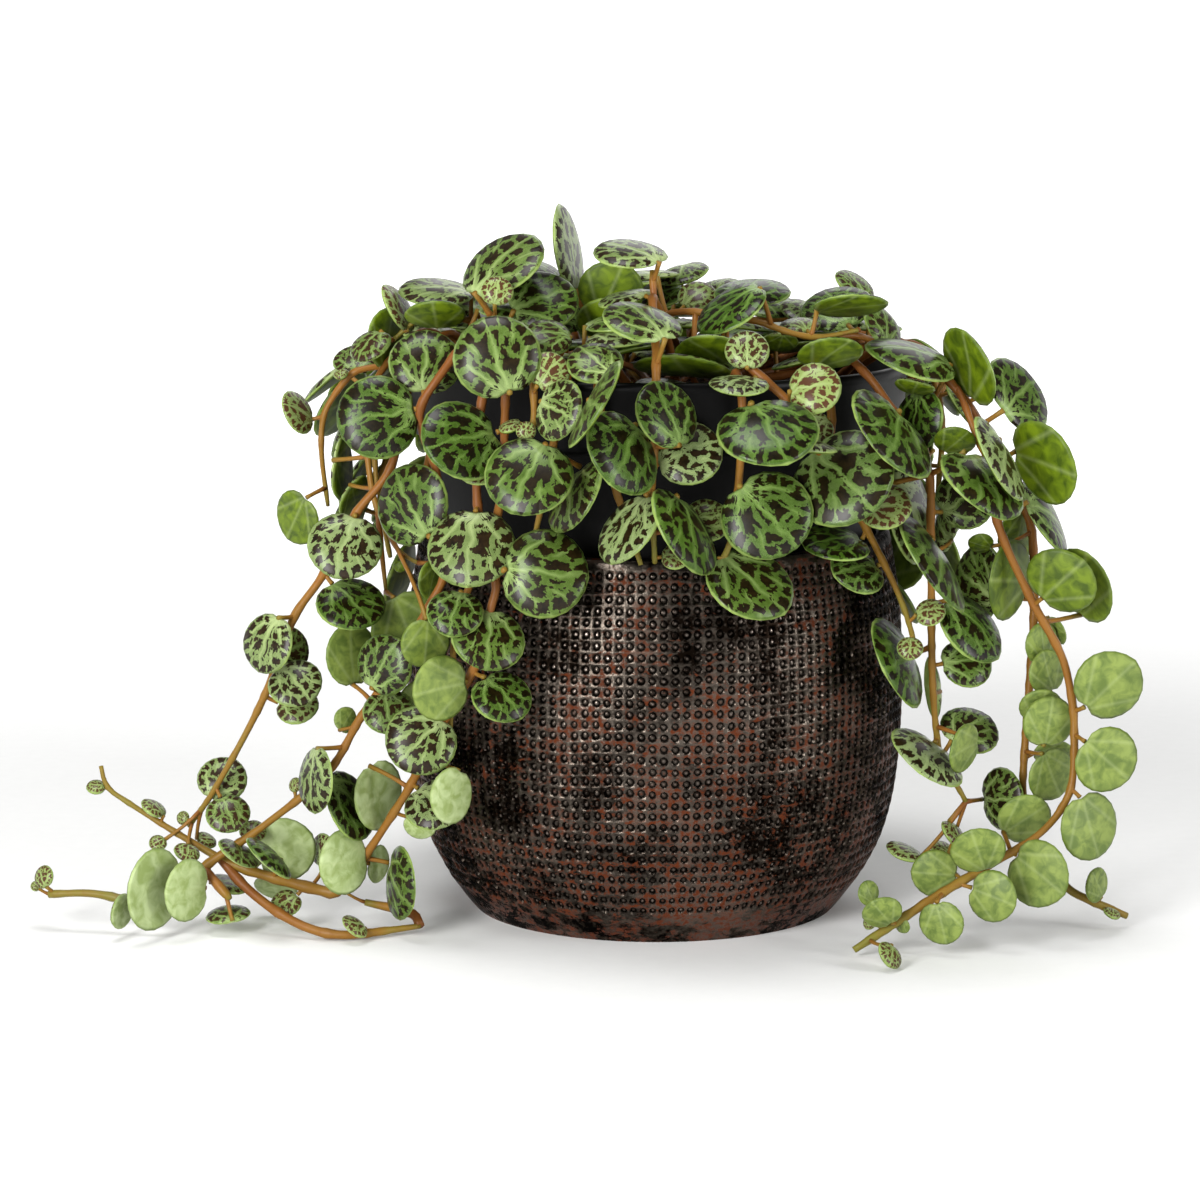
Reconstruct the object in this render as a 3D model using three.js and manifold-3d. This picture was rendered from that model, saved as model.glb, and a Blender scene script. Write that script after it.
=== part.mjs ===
// A potted string of turtles: trailing vines with round, patterned, fleshy leaves, rooted in a
// black nursery pot that stands inside a dimpled ceramic cachepot.
// Millimetres, +Z up, the viewer towards -Y. The origin is the centre of the cachepot's base.

import * as THREE from "three";
import { mergeVertices } from "three/addons/utils/BufferGeometryUtils.js";
import Module from "manifold-3d";

const wasm = await Module();
wasm.setup();

// Driving dimensions of the two pots and the soil
const CACHEPOT_WALL = 3;
const CACHEPOT_FLOOR = 8;
const CACHEPOT_OUTLINE = [
  [36.2, 0], [38.2, 2.4], [41.9, 7.8], [45.7, 15.6], [48.1, 26], [49.2, 42.6], [48.6, 60], [46.5, 74.6],
];
const CACHEPOT_TOP = 75.6;
const TOUCH_GAP = 0.3;
const NURSERY_BASE_RADIUS = 34;
const NURSERY_BODY_TOP_RADIUS = 45.2;
const NURSERY_RIM_RADIUS = 49.8;
const NURSERY_TOP = 109;
const COLLAR_HEIGHT = 13.5;
const NURSERY_WALL = 1.2;
const DRAIN_HOLE_RADIUS = 3;
const DRAIN_HOLE_COUNT = 6;
const DRAIN_RING_RADIUS = 24;
const SOIL_TOP = 103;
const ROUND_SIDES = 32;

// Driving dimensions of the plant
const STEM_RADIUS = 0.85;
const STEM_SIDES = 4;
const STEM_TOLERANCE = 0.4;
const PETIOLE_RADIUS = 0.55;
const PETIOLE_SIDES = 3;
const LEAF_EDGE_HALF = 0.3;
const LEAF_SIDES = 8;
const SMALL_LEAF_RADIUS = 6;
const SMALL_LEAF_SIDES = 6;
const UNDERSIDE_SHARE = 0.8;
const LEAF_REACH = 2;
const INNER_REACH = 42;
const CLEARANCE = 0.35;
const STEM_SPACING = 2.3;
const SLIDE_STEP = 0.6;
const SLIDE_STEPS = 26;
const SAMPLE_STEP = 1.6;

// The viewing point that the rows below are read from: a picture 1200 px square.
const VIEW_CENTRE_PX = 600;
const VIEW_FOCAL_PX = 3765;
const VIEW_EYE = [-10.9, -740, 178];
const VIEW_PITCH = THREE.MathUtils.degToRad(9);

// The top of the plant against the background: picture px across and down, from left to right.
// Leaves that no row below names stay under it.
const PLANT_TOP_PX = [
  [285, 395], [330, 370], [370, 345], [385, 285], [410, 282], [470, 275], [490, 245], [545, 236], [555, 205],
  [572, 205], [582, 265], [592, 240], [668, 240], [672, 265], [705, 266], [710, 280], [790, 278], [800, 295],
  [835, 275], [855, 275], [885, 295], [890, 320], [925, 335], [948, 326], [975, 330], [995, 362], [1020, 365],
  [1043, 400],
];
const PLANT_TOP_SLACK_PX = 4;

// Each vine: name, where it roots on the soil (x, y in mm), its stem, its side shoots and its leaves.
// A stem point: picture px across, px down, and how far back it lies (y in mm).
// A leaf: px across and down of its middle, long and short diameter in px, turn of the long one in
// degrees, y in mm, and T for a mature leaf seen from above, Y a young one, U or O an underside.
const VINES = [
  ["vine_front_centre", [4, -22],
    [[664, 322, -34], [652, 296, -40], [655, 320, -45], [656, 345, -51], [656, 380, -55], [655, 450, -56],
      [651, 490, -55], [657, 530, -52], [655, 563, -50.5]],
    [[[652, 296, -40], [651, 283, -39], [652, 270, -38]]],
    [[667, 415, 74, 56, -60, -60, "T"], [643, 321, 82, 36, -15, -50, "T"], [631, 253, 76, 27, -5, -37, "T"],
      [629, 528, 84, 44, 52, -56, "T"], [686, 530, 100, 40, -58, -55, "T"], [687, 452, 72, 64, 0, -52.5, "T"],
      [706, 520, 50, 42, 0, -50.5, "T"], [675, 557, 30, 24, 0, -51, "T"]]],
  ["vine_front_right", [22, -30],
    [[740, 358, -47], [768, 384, -51], [792, 405, -52], [818, 450, -51], [858, 512, -46], [885, 565, -41],
      [905, 610, -38], [915, 645, -36]], [],
    [[843, 478, 106, 92, 35, -55, "T"], [814, 388, 56, 50, 20, -57, "Y"], [739, 384, 60, 19, -2, -53.5, "T"],
      [885, 507, 54, 44, 10, -49, "Y"], [802, 445, 70, 9, -6, -54.5, "T"],
      [836, 543, 70, 34, -10, -46, "T"], [858, 570, 58, 40, -30, -44.5, "T"],
      [930, 612, 32, 26, 15, -39, "Y"], [910, 648, 26, 24, 0, -38, "Y"], [747, 350, 44, 40, 0, -50, "T"]]],
  ["vine_front_mid_right", [14, -36],
    [[735, 372, -45], [742, 395, -51], [742, 450, -51], [738, 500, -49], [730, 545, -49], [716, 572, -50]], [],
    [[768, 430, 100, 66, 0, -54, "T"], [767, 515, 92, 88, 0, -51, "T"], [750, 583, 94, 66, -28, -53, "T"]]],
  ["vine_front_gloss", [30, -24],
    [[812, 362, -38], [828, 392, -44], [832, 430, -44], [822, 480, -42], [812, 520, -41]], [],
    [[815, 428, 38, 34, 0, -47, "T"], [830, 352, 66, 30, 8, -42, "O"]]],
  ["vine_front_short", [-8, -34],
    [[545, 352, -45], [535, 372, -50.5], [533, 395, -52], [535, 420, -52], [526, 444, -51.5]], [],
    [[549, 372, 42, 42, 0, -54, "Y"], [526, 431, 20, 20, 0, -54.5, "Y"], [510, 426, 24, 10, 20, -52, "Y"],
      [549, 336, 50, 34, -10, -47, "T"]]],
  ["vine_front_mid_left", [-14, -30],
    [[572, 358, -45], [566, 385, -50.5], [556, 430, -51], [548, 475, -50], [540, 515, -48], [534, 540, -47]], [],
    [[529, 476, 88, 78, 10, -53.5, "T"], [575, 495, 84, 34, 58, -53, "T"], [558, 410, 62, 44, 70, -52.5, "T"]]],
  ["vine_front_loop", [-4, -30],
    [[603, 352, -46], [598, 385, -51], [603, 430, -51], [612, 480, -49], [625, 515, -48.5], [634, 548, -49],
      [641, 565, -50]], [],
    [[624, 452, 90, 60, -60, -52.5, "T"], [594, 404, 97, 14, 60, -63, "T"], [595, 362, 56, 40, 0, -46, "T"]]],
  ["vine_left_red", [-22, -28],
    [[500, 352, -40], [484, 388, -43], [480, 420, -44], [476, 480, -43], [480, 520, -43], [494, 565, -44.5],
      [497, 585, -45], [490, 610, -45.5], [476, 665, -44], [455, 700, -41], [430, 745, -37], [404, 797, -34],
      [385, 825, -32], [368, 851, -30], [353, 878, -28], [338, 894, -26.5], [313, 888, -26], [284, 879, -26],
      [243, 869, -25], [219, 858, -24], [184, 838, -23], [143, 813, -22], [113, 793, -21], [104, 784, -21],
      [101, 766, -21]],
    [[[343, 896, -27], [365, 903, -27.5], [387, 908, -28], [413, 914, -28]],
      [[219, 858, -24], [237, 879, -26], [263, 902, -29], [290, 920, -32], [313, 930, -34], [346, 940, -35.5],
        [372, 935, -34], [398, 929, -31.5], [420, 926, -30]]],
    [[544, 573, 90, 88, 0, -53, "T"], [471, 547, 88, 80, 20, -49, "T"], [488, 638, 75, 64, -25, -50, "T"],
      [502, 696, 62, 50, -20, -48, "T"], [421, 740, 72, 70, 0, -42, "T"], [435, 804, 62, 50, 10, -39, "T"],
      [399, 883, 74, 28, 92, -34, "T"], [376, 795, 72, 46, 85, -29, "U"], [343, 862, 64, 50, 85, -33.5, "U"],
      [450, 795, 58, 40, 80, -33, "U"], [420, 824, 34, 28, -20, -32, "O"], [378, 864, 38, 20, 80, -26, "O"],
      [96, 787, 20, 13, 0, -21, "Y"], [154, 808, 28, 13, -30, -22, "Y"], [355, 926, 30, 14, -38, -37, "T"],
      [270, 857, 58, 14, -42, -30, "T"], [284, 849, 64, 62, 0, -22, "U"], [286, 903, 32, 26, 20, -27, "T"],
      [276, 886, 44, 24, -15, -22, "U"], [322, 850, 34, 22, 90, -20, "T"]]],
  ["vine_left_inner", [-26, -20],
    [[478, 336, -34], [458, 352, -38], [437, 380, -40], [419, 408, -40], [423, 437, -38.5], [434, 460, -38],
      [441, 500, -38], [446, 545, -38], [444, 580, -38], [431, 600, -38], [424, 615, -37.5], [405, 655, -36],
      [362, 715, -34], [337, 759, -33], [325, 776, -32], [296, 797, -31], [269, 822, -29], [235, 846, -27.5],
      [205, 865, -27], [185, 885, -29], [164, 903, -31], [130, 903, -31], [93, 893, -29], [49, 894, -27]],
    [[[164, 903, -31], [196, 900, -31], [230, 899, -31]]],
    [[378, 417, 84, 84, 0, -41, "T"], [412, 505, 84, 70, 88, -42, "T"], [425, 362, 72, 66, 0, -36, "T"],
      [384, 665, 62, 54, 95, -39, "T"], [388, 711, 50, 46, 0, -37, "T"], [350, 655, 66, 50, 88, -30, "U"],
      [345, 720, 27, 22, 80, -30, "O"], [315, 779, 68, 32, 88, -34, "T"], [350, 805, 76, 42, -65, -36.5, "T"],
      [295, 785, 16, 10, 80, -29, "Y"], [253, 831, 27, 22, 0, -24, "T"], [239, 853, 46, 18, -32, -30, "T"],
      [186, 890, 62, 44, 78, -34.5, "O"], [152, 889, 80, 54, 80, -27.5, "U"], [121, 911, 36, 20, 75, -34, "O"],
      [44, 877, 24, 17, 85, -27, "Y"], [36, 886, 11, 10, 0, -26, "Y"], [228, 884, 42, 16, -14, -27, "T"],
      [228, 914, 44, 17, 8, -29, "T"]]],
  ["vine_left_long", [-32, -12],
    [[455, 334, -22], [427, 350, -29], [408, 385, -31.5], [399, 430, -32], [393, 465, -33], [380, 485, -33],
      [365, 500, -33], [352, 520, -33], [322, 577, -32], [305, 600, -31.5], [290, 625, -31], [263, 700, -28],
      [243, 732, -27], [225, 770, -26], [202, 811, -24], [189, 826, -21]], [],
    [[345, 545, 74, 68, 0, -37, "T"], [351, 603, 70, 52, -8, -36, "T"], [268, 643, 62, 48, 80, -35, "T"],
      [293, 648, 44, 32, -75, -28.5, "T"], [295, 683, 54, 47, 10, -32, "T"], [297, 705, 44, 36, 10, -28, "T"],
      [222, 779, 50, 46, 20, -22, "T"], [228, 813, 44, 39, 0, -28, "T"], [183, 818, 14, 12, 80, -20, "Y"],
      [206, 840, 23, 13, -25, -19, "Y"], [158, 843, 18, 15, 0, -16, "Y"], [187, 852, 26, 17, -20, -16, "Y"]]],
  ["vine_left_low", [-18, -36],
    [[518, 345, -43], [506, 385, -48], [505, 430, -47], [500, 500, -44], [480, 560, -41], [460, 610, -40],
      [453, 640, -40], [456, 665, -40], [452, 700, -39], [447, 728, -38]], [],
    [[455, 612, 56, 48, 0, -45, "T"], [497, 357, 86, 84, 0, -47, "T"], [463, 440, 88, 72, -35, -47, "T"],
      [478, 470, 40, 30, 0, -44, "T"], [424, 702, 52, 46, 0, -36, "U"], [440, 688, 64, 56, 70, -33, "U"]]],
  ["vine_left_thin", [-34, 2],
    [[432, 330, -8], [405, 345, -14], [380, 372, -17], [366, 410, -20], [368, 450, -22], [371, 485, -23.5],
      [380, 520, -25], [392, 541, -26.5], [403, 557, -28], [418, 563, -30]],
    [[[378, 512, -25], [382, 545, -26], [386, 578, -27], [386, 592, -27.5]]],
    [[400, 566, 13, 13, 0, -31, "O"], [405, 626, 74, 66, 60, -28, "U"], [430, 580, 42, 22, 85, -33, "O"],
      [425, 642, 52, 46, 60, -34, "U"], [341, 468, 64, 20, 88, -12, "U"], [352, 495, 46, 17, 60, -15, "U"],
      [385, 340, 66, 34, 85, -20, "O"]]],
  ["vine_left_outer", [-36, 10],
    [[440, 345, 2], [410, 358, -4], [385, 367, -8], [360, 368, -9], [346, 377, -9], [334, 397, -8],
      [325, 407, -8], [322, 425, -8], [321, 452, -8], [324, 472, -7], [328, 506, -6]], [],
    [[298, 412, 46, 26, -62, -10, "Y"], [298, 517, 56, 40, -75, -8, "O"], [341, 374, 15, 9, 20, -11, "Y"],
      [356, 360, 46, 30, 10, -4, "T"]]],
  ["vine_right_hanging", [30, -14],
    [[838, 352, -30], [862, 370, -36], [872, 380, -38.5], [889, 405, -40], [906, 432, -39], [924, 462, -37],
      [932, 480, -36], [929, 497, -35], [931, 533, -33.5], [929, 594, -32], [928, 648, -31], [927, 690, -30],
      [935, 736, -30], [954, 782, -30], [967, 801, -30], [969, 830, -29], [972, 850, -28]], [],
    [[893, 433, 108, 44, -50, -45, "T"], [984, 482, 96, 46, -38, -41, "T"], [935, 562, 112, 25, -58, -38, "T"],
      [972, 627, 82, 46, -50, -36, "T"], [899, 662, 96, 34, -66, -36, "T"], [928, 756, 84, 34, -38, -38, "T"],
      [966, 663, 54, 44, -25, -30, "T"], [970, 729, 60, 44, -20, -28, "T"], [963, 748, 50, 26, 72, -33, "U"],
      [934, 688, 62, 13, -84, -27, "O"], [1001, 799, 62, 42, 95, -27, "T"], [954, 834, 34, 14, -55, -31, "T"],
      [905, 851, 40, 14, -22, -28, "T"], [911, 515, 100, 40, -80, -29, "T"], [965, 500, 60, 58, 0, -30, "T"],
      [945, 527, 50, 22, 85, -26, "T"], [942, 848, 24, 12, -20, -27, "T"]]],
  ["vine_right_long", [34, -4],
    [[890, 340, -18], [920, 358, -26], [938, 374, -30], [958, 388, -32], [975, 412, -33], [986, 460, -33],
      [994, 514, -33], [1011, 548, -33], [1034, 606, -33], [1059, 648, -33], [1073, 705, -33],
      [1074, 763, -34], [1071, 791, -35], [1057, 816, -36.5], [1034, 839, -38], [1004, 855, -40],
      [973, 874, -42], [942, 893, -44], [908, 914, -45.5], [877, 938, -47], [854, 950, -48]],
    [[[958, 388, -32], [969, 415, -36], [981, 450, -38], [990, 463, -38.5], [999, 467, -38]]],
    [[1062, 580, 72, 60, -30, -38, "U"], [971, 366, 86, 40, -65, -36, "O"], [1018, 395, 84, 46, -58, -34, "T"],
      [1045, 462, 88, 56, -60, -32, "O"], [1000, 458, 92, 22, -62, -37, "T"], [1046, 517, 84, 22, -60, -35, "T"],
      [1085, 585, 80, 50, -65, -31, "O"], [1108, 685, 72, 64, 40, -35, "U"], [1105, 759, 66, 60, 60, -36, "U"],
      [1088, 826, 70, 54, 85, -37, "U"], [1039, 873, 68, 60, -70, -42, "U"], [1024, 818, 56, 46, 25, -33, "U"],
      [978, 850, 54, 44, 10, -36, "U"], [935, 873, 48, 46, 0, -39, "U"], [993, 896, 52, 48, -60, -45, "U"],
      [942, 922, 46, 42, -50, -48, "U"], [868, 893, 26, 20, 90, -43, "U"], [882, 912, 40, 30, 10, -50, "U"],
      [890, 955, 30, 17, -58, -51, "Y"], [870, 922, 16, 12, 60, -47, "Y"], [902, 924, 20, 12, -60, -51, "U"]]],
  ["vine_right_back", [36, 6],
    [[905, 342, -8], [935, 362, -14], [960, 392, -18], [985, 430, -20], [1010, 474, -21], [1027, 512, -22],
      [1034, 548, -22], [1034, 610, -22], [1030, 682, -23], [1026, 740, -24], [1023, 793, -25],
      [1036, 842, -26], [1066, 888, -26], [1090, 900, -26], [1110, 909, -25.5], [1127, 916, -25]], [],
    [[1008, 580, 80, 40, 80, -28, "O"], [978, 582, 78, 50, 90, -27, "T"], [1016, 537, 58, 36, 80, -27, "O"],
      [1041, 643, 44, 30, 80, -26, "U"], [1046, 672, 46, 34, 85, -28, "U"], [1040, 705, 42, 32, 20, -26, "U"],
      [1048, 722, 54, 48, 60, -28.5, "U"], [1050, 774, 54, 42, 70, -29, "U"], [1053, 752, 42, 22, 5, -25, "U"],
      [1096, 885, 36, 20, 82, -29, "O"], [981, 543, 26, 18, 0, -23, "O"], [1056, 630, 32, 14, -60, -24, "O"],
      [1112, 913, 18, 8, -30, -27, "Y"]]],
  ["vine_crown_far_right", [26, -16],
    [[830, 342, -22], [862, 336, -24], [890, 350, -28], [915, 372, -31], [930, 400, -32], [938, 430, -32]], [],
    [[912, 356, 96, 30, -18, -36, "T"], [883, 325, 50, 26, -55, -20, "T"], [918, 420, 64, 46, 80, -35, "T"],
      [955, 441, 42, 28, 0, -36, "O"], [915, 386, 40, 12, -10, -35, "O"]]],
  ["vine_crown_right", [8, -12],
    [[665, 322, -22], [680, 312, -27], [700, 312, -30], [750, 320, -32], [765, 323, -33], [790, 333, -34],
      [810, 338, -34], [840, 334, -33], [858, 330, -32]], [],
    [[731, 308, 80, 36, 32, -37, "T"], [850, 305, 76, 20, 4, -30, "O"], [837, 308, 74, 44, 10, -24, "T"],
      [752, 291, 76, 26, 2, -24, "T"], [710, 350, 70, 32, 0, -38, "O"], [683, 366, 98, 20, -5, -44, "O"],
      [780, 341, 36, 18, 0, -30, "O"], [800, 325, 40, 14, 0, -27, "T"], [697, 296, 40, 30, 10, -24, "T"]]],
  ["vine_crown_right_back", [14, 6],
    [[690, 322, -2], [725, 315, -2], [790, 318, -4], [835, 312, -6], [862, 305, -8]], [],
    [[682, 274, 54, 18, 15, -8, "T"], [662, 294, 50, 26, 12, -12, "T"], [855, 285, 45, 20, -35, -6, "T"],
      [770, 305, 60, 22, -5, -8, "T"], [805, 312, 50, 22, -15, -12, "T"], [720, 290, 50, 24, 10, -2, "T"]]],
  ["vine_crown_centre", [-6, -8],
    [[600, 335, -22], [590, 312, -20], [580, 296, -19], [573, 282, -18]], [],
    [[568, 249, 92, 24, -80, -20, "T"], [611, 290, 64, 60, 0, -16, "O"], [608, 320, 62, 46, 0, -26, "O"],
      [570, 312, 50, 40, 0, -14, "T"], [640, 300, 50, 26, 0, -10, "T"]]],
  ["vine_crown_tall", [-18, -16],
    [[512, 338, -30], [492, 318, -33], [480, 298, -34], [484, 284, -33], [496, 276, -31]], [],
    [[502, 265, 92, 50, 33, -32, "T"], [497, 291, 32, 30, 0, -37, "Y"], [543, 300, 72, 58, 0, -30, "T"],
      [532, 340, 56, 40, 0, -36, "T"]]],
  ["vine_crown_left", [-24, 2],
    [[480, 325, -12], [450, 318, -16], [420, 318, -18], [402, 328, -19], [393, 340, -19]], [],
    [[437, 291, 78, 26, -3, -16, "T"], [399, 308, 56, 20, -60, -20, "Y"], [435, 314, 60, 28, 0, -24, "O"],
      [470, 302, 50, 26, 20, -8, "T"], [370, 345, 44, 26, 30, -14, "T"]]],
];

// Vines behind the pot and over the back of the soil, which the rows above don't reach.
// Each: name, bearing in degrees (0 towards +X, 90 straight back), length over the rim in mm, seed.
const BACK_VINES = [
  ["vine_side_right_1", 6, 34, 7], ["vine_side_right_2", 22, 46, 19], ["vine_back_right_1", 37, 62, 11],
  ["vine_back_right_2", 52, 92, 23], ["vine_back_right_3", 67, 66, 37], ["vine_back_centre", 82, 104, 41],
  ["vine_back_left_1", 97, 74, 59], ["vine_back_left_2", 112, 96, 61], ["vine_back_left_3", 127, 62, 73],
  ["vine_back_left_4", 142, 80, 83], ["vine_side_left_1", 157, 56, 97], ["vine_side_left_2", 173, 40, 101],
];
// Vines that creep over the soil: name, root x, y, end x, y in mm, seed.
const CREEPERS = [
  ["vine_crown_back_1", -20, 0, -10, 30, 5], ["vine_crown_back_2", 6, -4, 16, 28, 17],
  ["vine_crown_back_3", -22, 12, -24, 36, 17], ["vine_crown_mid", -2, -22, -8, 6, 31],
  ["vine_crown_back_4", -6, 2, 2, 40, 47],
];

// Vectors as plain arrays
const add = (a, b, k = 1) => [a[0] + b[0] * k, a[1] + b[1] * k, a[2] + b[2] * k];
const sub = (a, b) => add(a, b, -1);
const dot = (a, b) => a[0] * b[0] + a[1] * b[1] + a[2] * b[2];
const cross = (a, b) => [
  a[1] * b[2] - a[2] * b[1], a[2] * b[0] - a[0] * b[2], a[0] * b[1] - a[1] * b[0],
];
const size = (a) => Math.sqrt(dot(a, a));
const unit = (a) => add([0, 0, 0], a, 1 / size(a));
const UP = [0, 0, 1];

// The point at depth y that shows at a place in the picture
function seenAt(px, py, y) {
  const across = (px - VIEW_CENTRE_PX) / VIEW_FOCAL_PX;
  const rise = (VIEW_CENTRE_PX - py) / VIEW_FOCAL_PX;
  const ray = [
    across,
    Math.cos(VIEW_PITCH) + rise * Math.sin(VIEW_PITCH),
    rise * Math.cos(VIEW_PITCH) - Math.sin(VIEW_PITCH),
  ];
  return add(VIEW_EYE, ray, (y - VIEW_EYE[1]) / ray[1]);
}

const between = (low, high, share) => low + (high - low) * share;

// Where a point shows in the picture, in px
function placeInPicture(point) {
  const [x, y, z] = sub(point, VIEW_EYE);
  const depth = y * Math.cos(VIEW_PITCH) - z * Math.sin(VIEW_PITCH);
  const rise = y * Math.sin(VIEW_PITCH) + z * Math.cos(VIEW_PITCH);
  return [
    VIEW_CENTRE_PX + (VIEW_FOCAL_PX * x) / depth,
    VIEW_CENTRE_PX - (VIEW_FOCAL_PX * rise) / depth,
  ];
}

// Whether a point would show above the plant's outline
function overTheTop(point) {
  const [px, py] = placeInPicture(point);
  const right = PLANT_TOP_PX.findIndex((corner) => corner[0] > px);
  if (right < 1) return py < PLANT_TOP_PX.at(right)[1];
  const [from, to] = [PLANT_TOP_PX[right - 1], PLANT_TOP_PX[right]];
  return py < between(from[1], to[1], (px - from[0]) / (to[0] - from[0])) - PLANT_TOP_SLACK_PX;
}

// The radius that the pots take up at a height
function potRadius(z) {
  if (z > NURSERY_TOP) return 0;
  if (z > NURSERY_TOP - COLLAR_HEIGHT - 0.5) return NURSERY_RIM_RADIUS;
  if (z > CACHEPOT_TOP) return NURSERY_BODY_TOP_RADIUS;
  const above = CACHEPOT_OUTLINE.findIndex((point) => point[1] > z);
  if (above < 0) return CACHEPOT_OUTLINE.at(-1)[0];
  if (above === 0) return CACHEPOT_OUTLINE[0][0];
  const [low, high] = [CACHEPOT_OUTLINE[above - 1], CACHEPOT_OUTLINE[above]];
  return between(low[0], high[0], (z - low[1]) / (high[1] - low[1]));
}

// How far inside the pots, the soil or the floor a ball at a point reaches
function sunk(point, pad) {
  const radius = Math.hypot(point[0], point[1]);
  if (point[2] < pad) return pad - point[2];
  if (radius < NURSERY_RIM_RADIUS - NURSERY_WALL - pad - 1) {
    return point[2] > NURSERY_TOP + pad ? 0 : Math.max(0, SOIL_TOP + pad - point[2]);
  }
  const highest = Math.min(NURSERY_TOP, point[2] + pad);
  const lowest = Math.max(0, point[2] - pad);
  if (lowest >= NURSERY_TOP) return 0;
  const reach = Math.max(potRadius(lowest), potRadius(highest), potRadius(point[2])) + pad;
  return Math.max(0, reach - radius);
}

// A point moved clear of pots, soil and floor: over the rim where it is inside, else straight out
function clearOfPots(point, pad) {
  const radius = Math.hypot(point[0], point[1]);
  const [x, y] = point;
  const z = Math.max(point[2], pad);
  const rim = NURSERY_RIM_RADIUS;
  if (radius < rim - 4) return [x, y, Math.max(z, SOIL_TOP + pad)];
  if (radius < rim + pad && z > NURSERY_TOP - 6) return [x, y, Math.max(z, NURSERY_TOP + pad)];
  const reach = sunk([x, y, z], pad);
  return [x * (1 + reach / radius), y * (1 + reach / radius), z];
}

// A smooth curve through points, with a sample every SAMPLE_STEP or so
function smoothCurve(points) {
  const ends = [
    add(points[0], sub(points[0], points[1])),
    add(points.at(-1), sub(points.at(-1), points.at(-2))),
  ];
  const all = [ends[0], ...points, ends[1]];
  const samples = [];
  for (let i = 1; i < all.length - 2; i++) {
    const [p, q, r, s] = all.slice(i - 1, i + 3);
    const count = Math.max(1, Math.round(size(sub(r, q)) / SAMPLE_STEP));
    for (let n = 0; n < count; n++) {
      const t = n / count;
      samples.push(
        [0, 1, 2].map(
          (k) =>
            0.5 *
            (2 * q[k] + (r[k] - p[k]) * t + (2 * p[k] - 5 * q[k] + 4 * r[k] - s[k]) * t * t +
              (3 * q[k] - p[k] - 3 * r[k] + s[k]) * t * t * t),
        ),
      );
    }
  }
  samples.push(points.at(-1));
  return samples;
}

// A stem's samples, moved clear of the pots and of the stems laid before it
function layStem(points, others, fixedStart) {
  let samples = smoothCurve(points);
  for (let round = 0; round < 4; round++) {
    samples = samples.map((point, i) => {
      if (fixedStart && i < 2) return point;
      let moved = point;
      for (const other of others) {
        const away = sub(moved, other);
        const gap = size(away);
        if (gap < STEM_SPACING && gap > 1e-6) moved = add(moved, away, (STEM_SPACING - gap) / gap);
      }
      return clearOfPots(moved, STEM_RADIUS + CLEARANCE);
    });
    if (round < 3) {
      samples = samples.map((point, i) =>
        i === 0 || i === samples.length - 1 || (fixedStart && i < 3)
          ? point
          : add(add([0, 0, 0], point, 0.5), add(samples[i - 1], samples[i + 1]), 0.25),
      );
    }
  }
  return samples;
}

// Half the thickness of a leaf at a distance from its middle
const leafHalf = (radius) => 0.04 * radius + 0.35;
function thicknessAt(leaf, distance) {
  const share = Math.min(1, distance / leaf.radius);
  return LEAF_EDGE_HALF + (leaf.half - LEAF_EDGE_HALF) * (1 - share * share);
}

// Points over a leaf: the middle, a ring half way and the rim
const RINGS = [[0, 1], [0.5, 8], [1, 16]];
function leafSamples(leaf) {
  const flat = unit(cross(leaf.normal, Math.abs(leaf.normal[2]) < 0.9 ? UP : [1, 0, 0]));
  const side = cross(leaf.normal, flat);
  return RINGS.flatMap(([share, count]) =>
    Array.from({ length: count }, (_, i) => {
      const angle = (2 * Math.PI * i) / count;
      const reach = leaf.radius * share;
      return {
        at: add(add(leaf.centre, flat, reach * Math.cos(angle)), side, reach * Math.sin(angle)),
        half: thicknessAt(leaf, reach),
      };
    }),
  );
}

// Whether a ball touches a leaf
function ballTouches(leaf, at, radius) {
  const away = sub(at, leaf.centre);
  const height = dot(away, leaf.normal);
  const flat = Math.sqrt(Math.max(0, dot(away, away) - height * height));
  return (
    flat < leaf.radius + radius + CLEARANCE &&
    Math.abs(height) < thicknessAt(leaf, flat) + radius + CLEARANCE
  );
}

// Whether the discs of two leaves cross
function discsCross(a, b) {
  const line = cross(a.normal, b.normal);
  const steep = size(line);
  if (steep < 1e-3) return false;
  const along = add([0, 0, 0], line, 1 / steep);
  const [da, db] = [dot(a.centre, a.normal), dot(b.centre, b.normal)];
  const foot = add(
    add([0, 0, 0], cross(b.normal, line), da / (steep * steep)),
    cross(line, a.normal),
    db / (steep * steep),
  );
  const reach = (leaf) => {
    const middle = dot(sub(leaf.centre, foot), along);
    const off = size(sub(leaf.centre, add(foot, along, middle)));
    const radius = leaf.radius + CLEARANCE;
    return off < radius ? [middle, Math.sqrt(radius * radius - off * off)] : null;
  };
  const [ra, rb] = [reach(a), reach(b)];
  return Boolean(ra && rb && Math.abs(ra[0] - rb[0]) < ra[1] + rb[1]);
}

function leavesTouch(a, b) {
  if (size(sub(a.centre, b.centre)) > a.radius + b.radius + 2 * CLEARANCE) return false;
  if (discsCross(a, b)) return true;
  return (
    a.samples.some((sample) => ballTouches(b, sample.at, sample.half)) ||
    b.samples.some((sample) => ballTouches(a, sample.at, sample.half))
  );
}

// The petiole from a stem sample to the leaf's rim, as samples
function petioleTo(leaf, from) {
  const away = sub(from, leaf.centre);
  const flat = sub(away, add([0, 0, 0], leaf.normal, dot(away, leaf.normal)));
  const base = add(leaf.centre, unit(flat), leaf.radius * 0.55);
  const span = sub(base, from);
  const count = Math.max(2, Math.ceil(size(span)));
  return Array.from({ length: count + 1 }, (_, i) => add(from, span, i / count));
}

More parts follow.
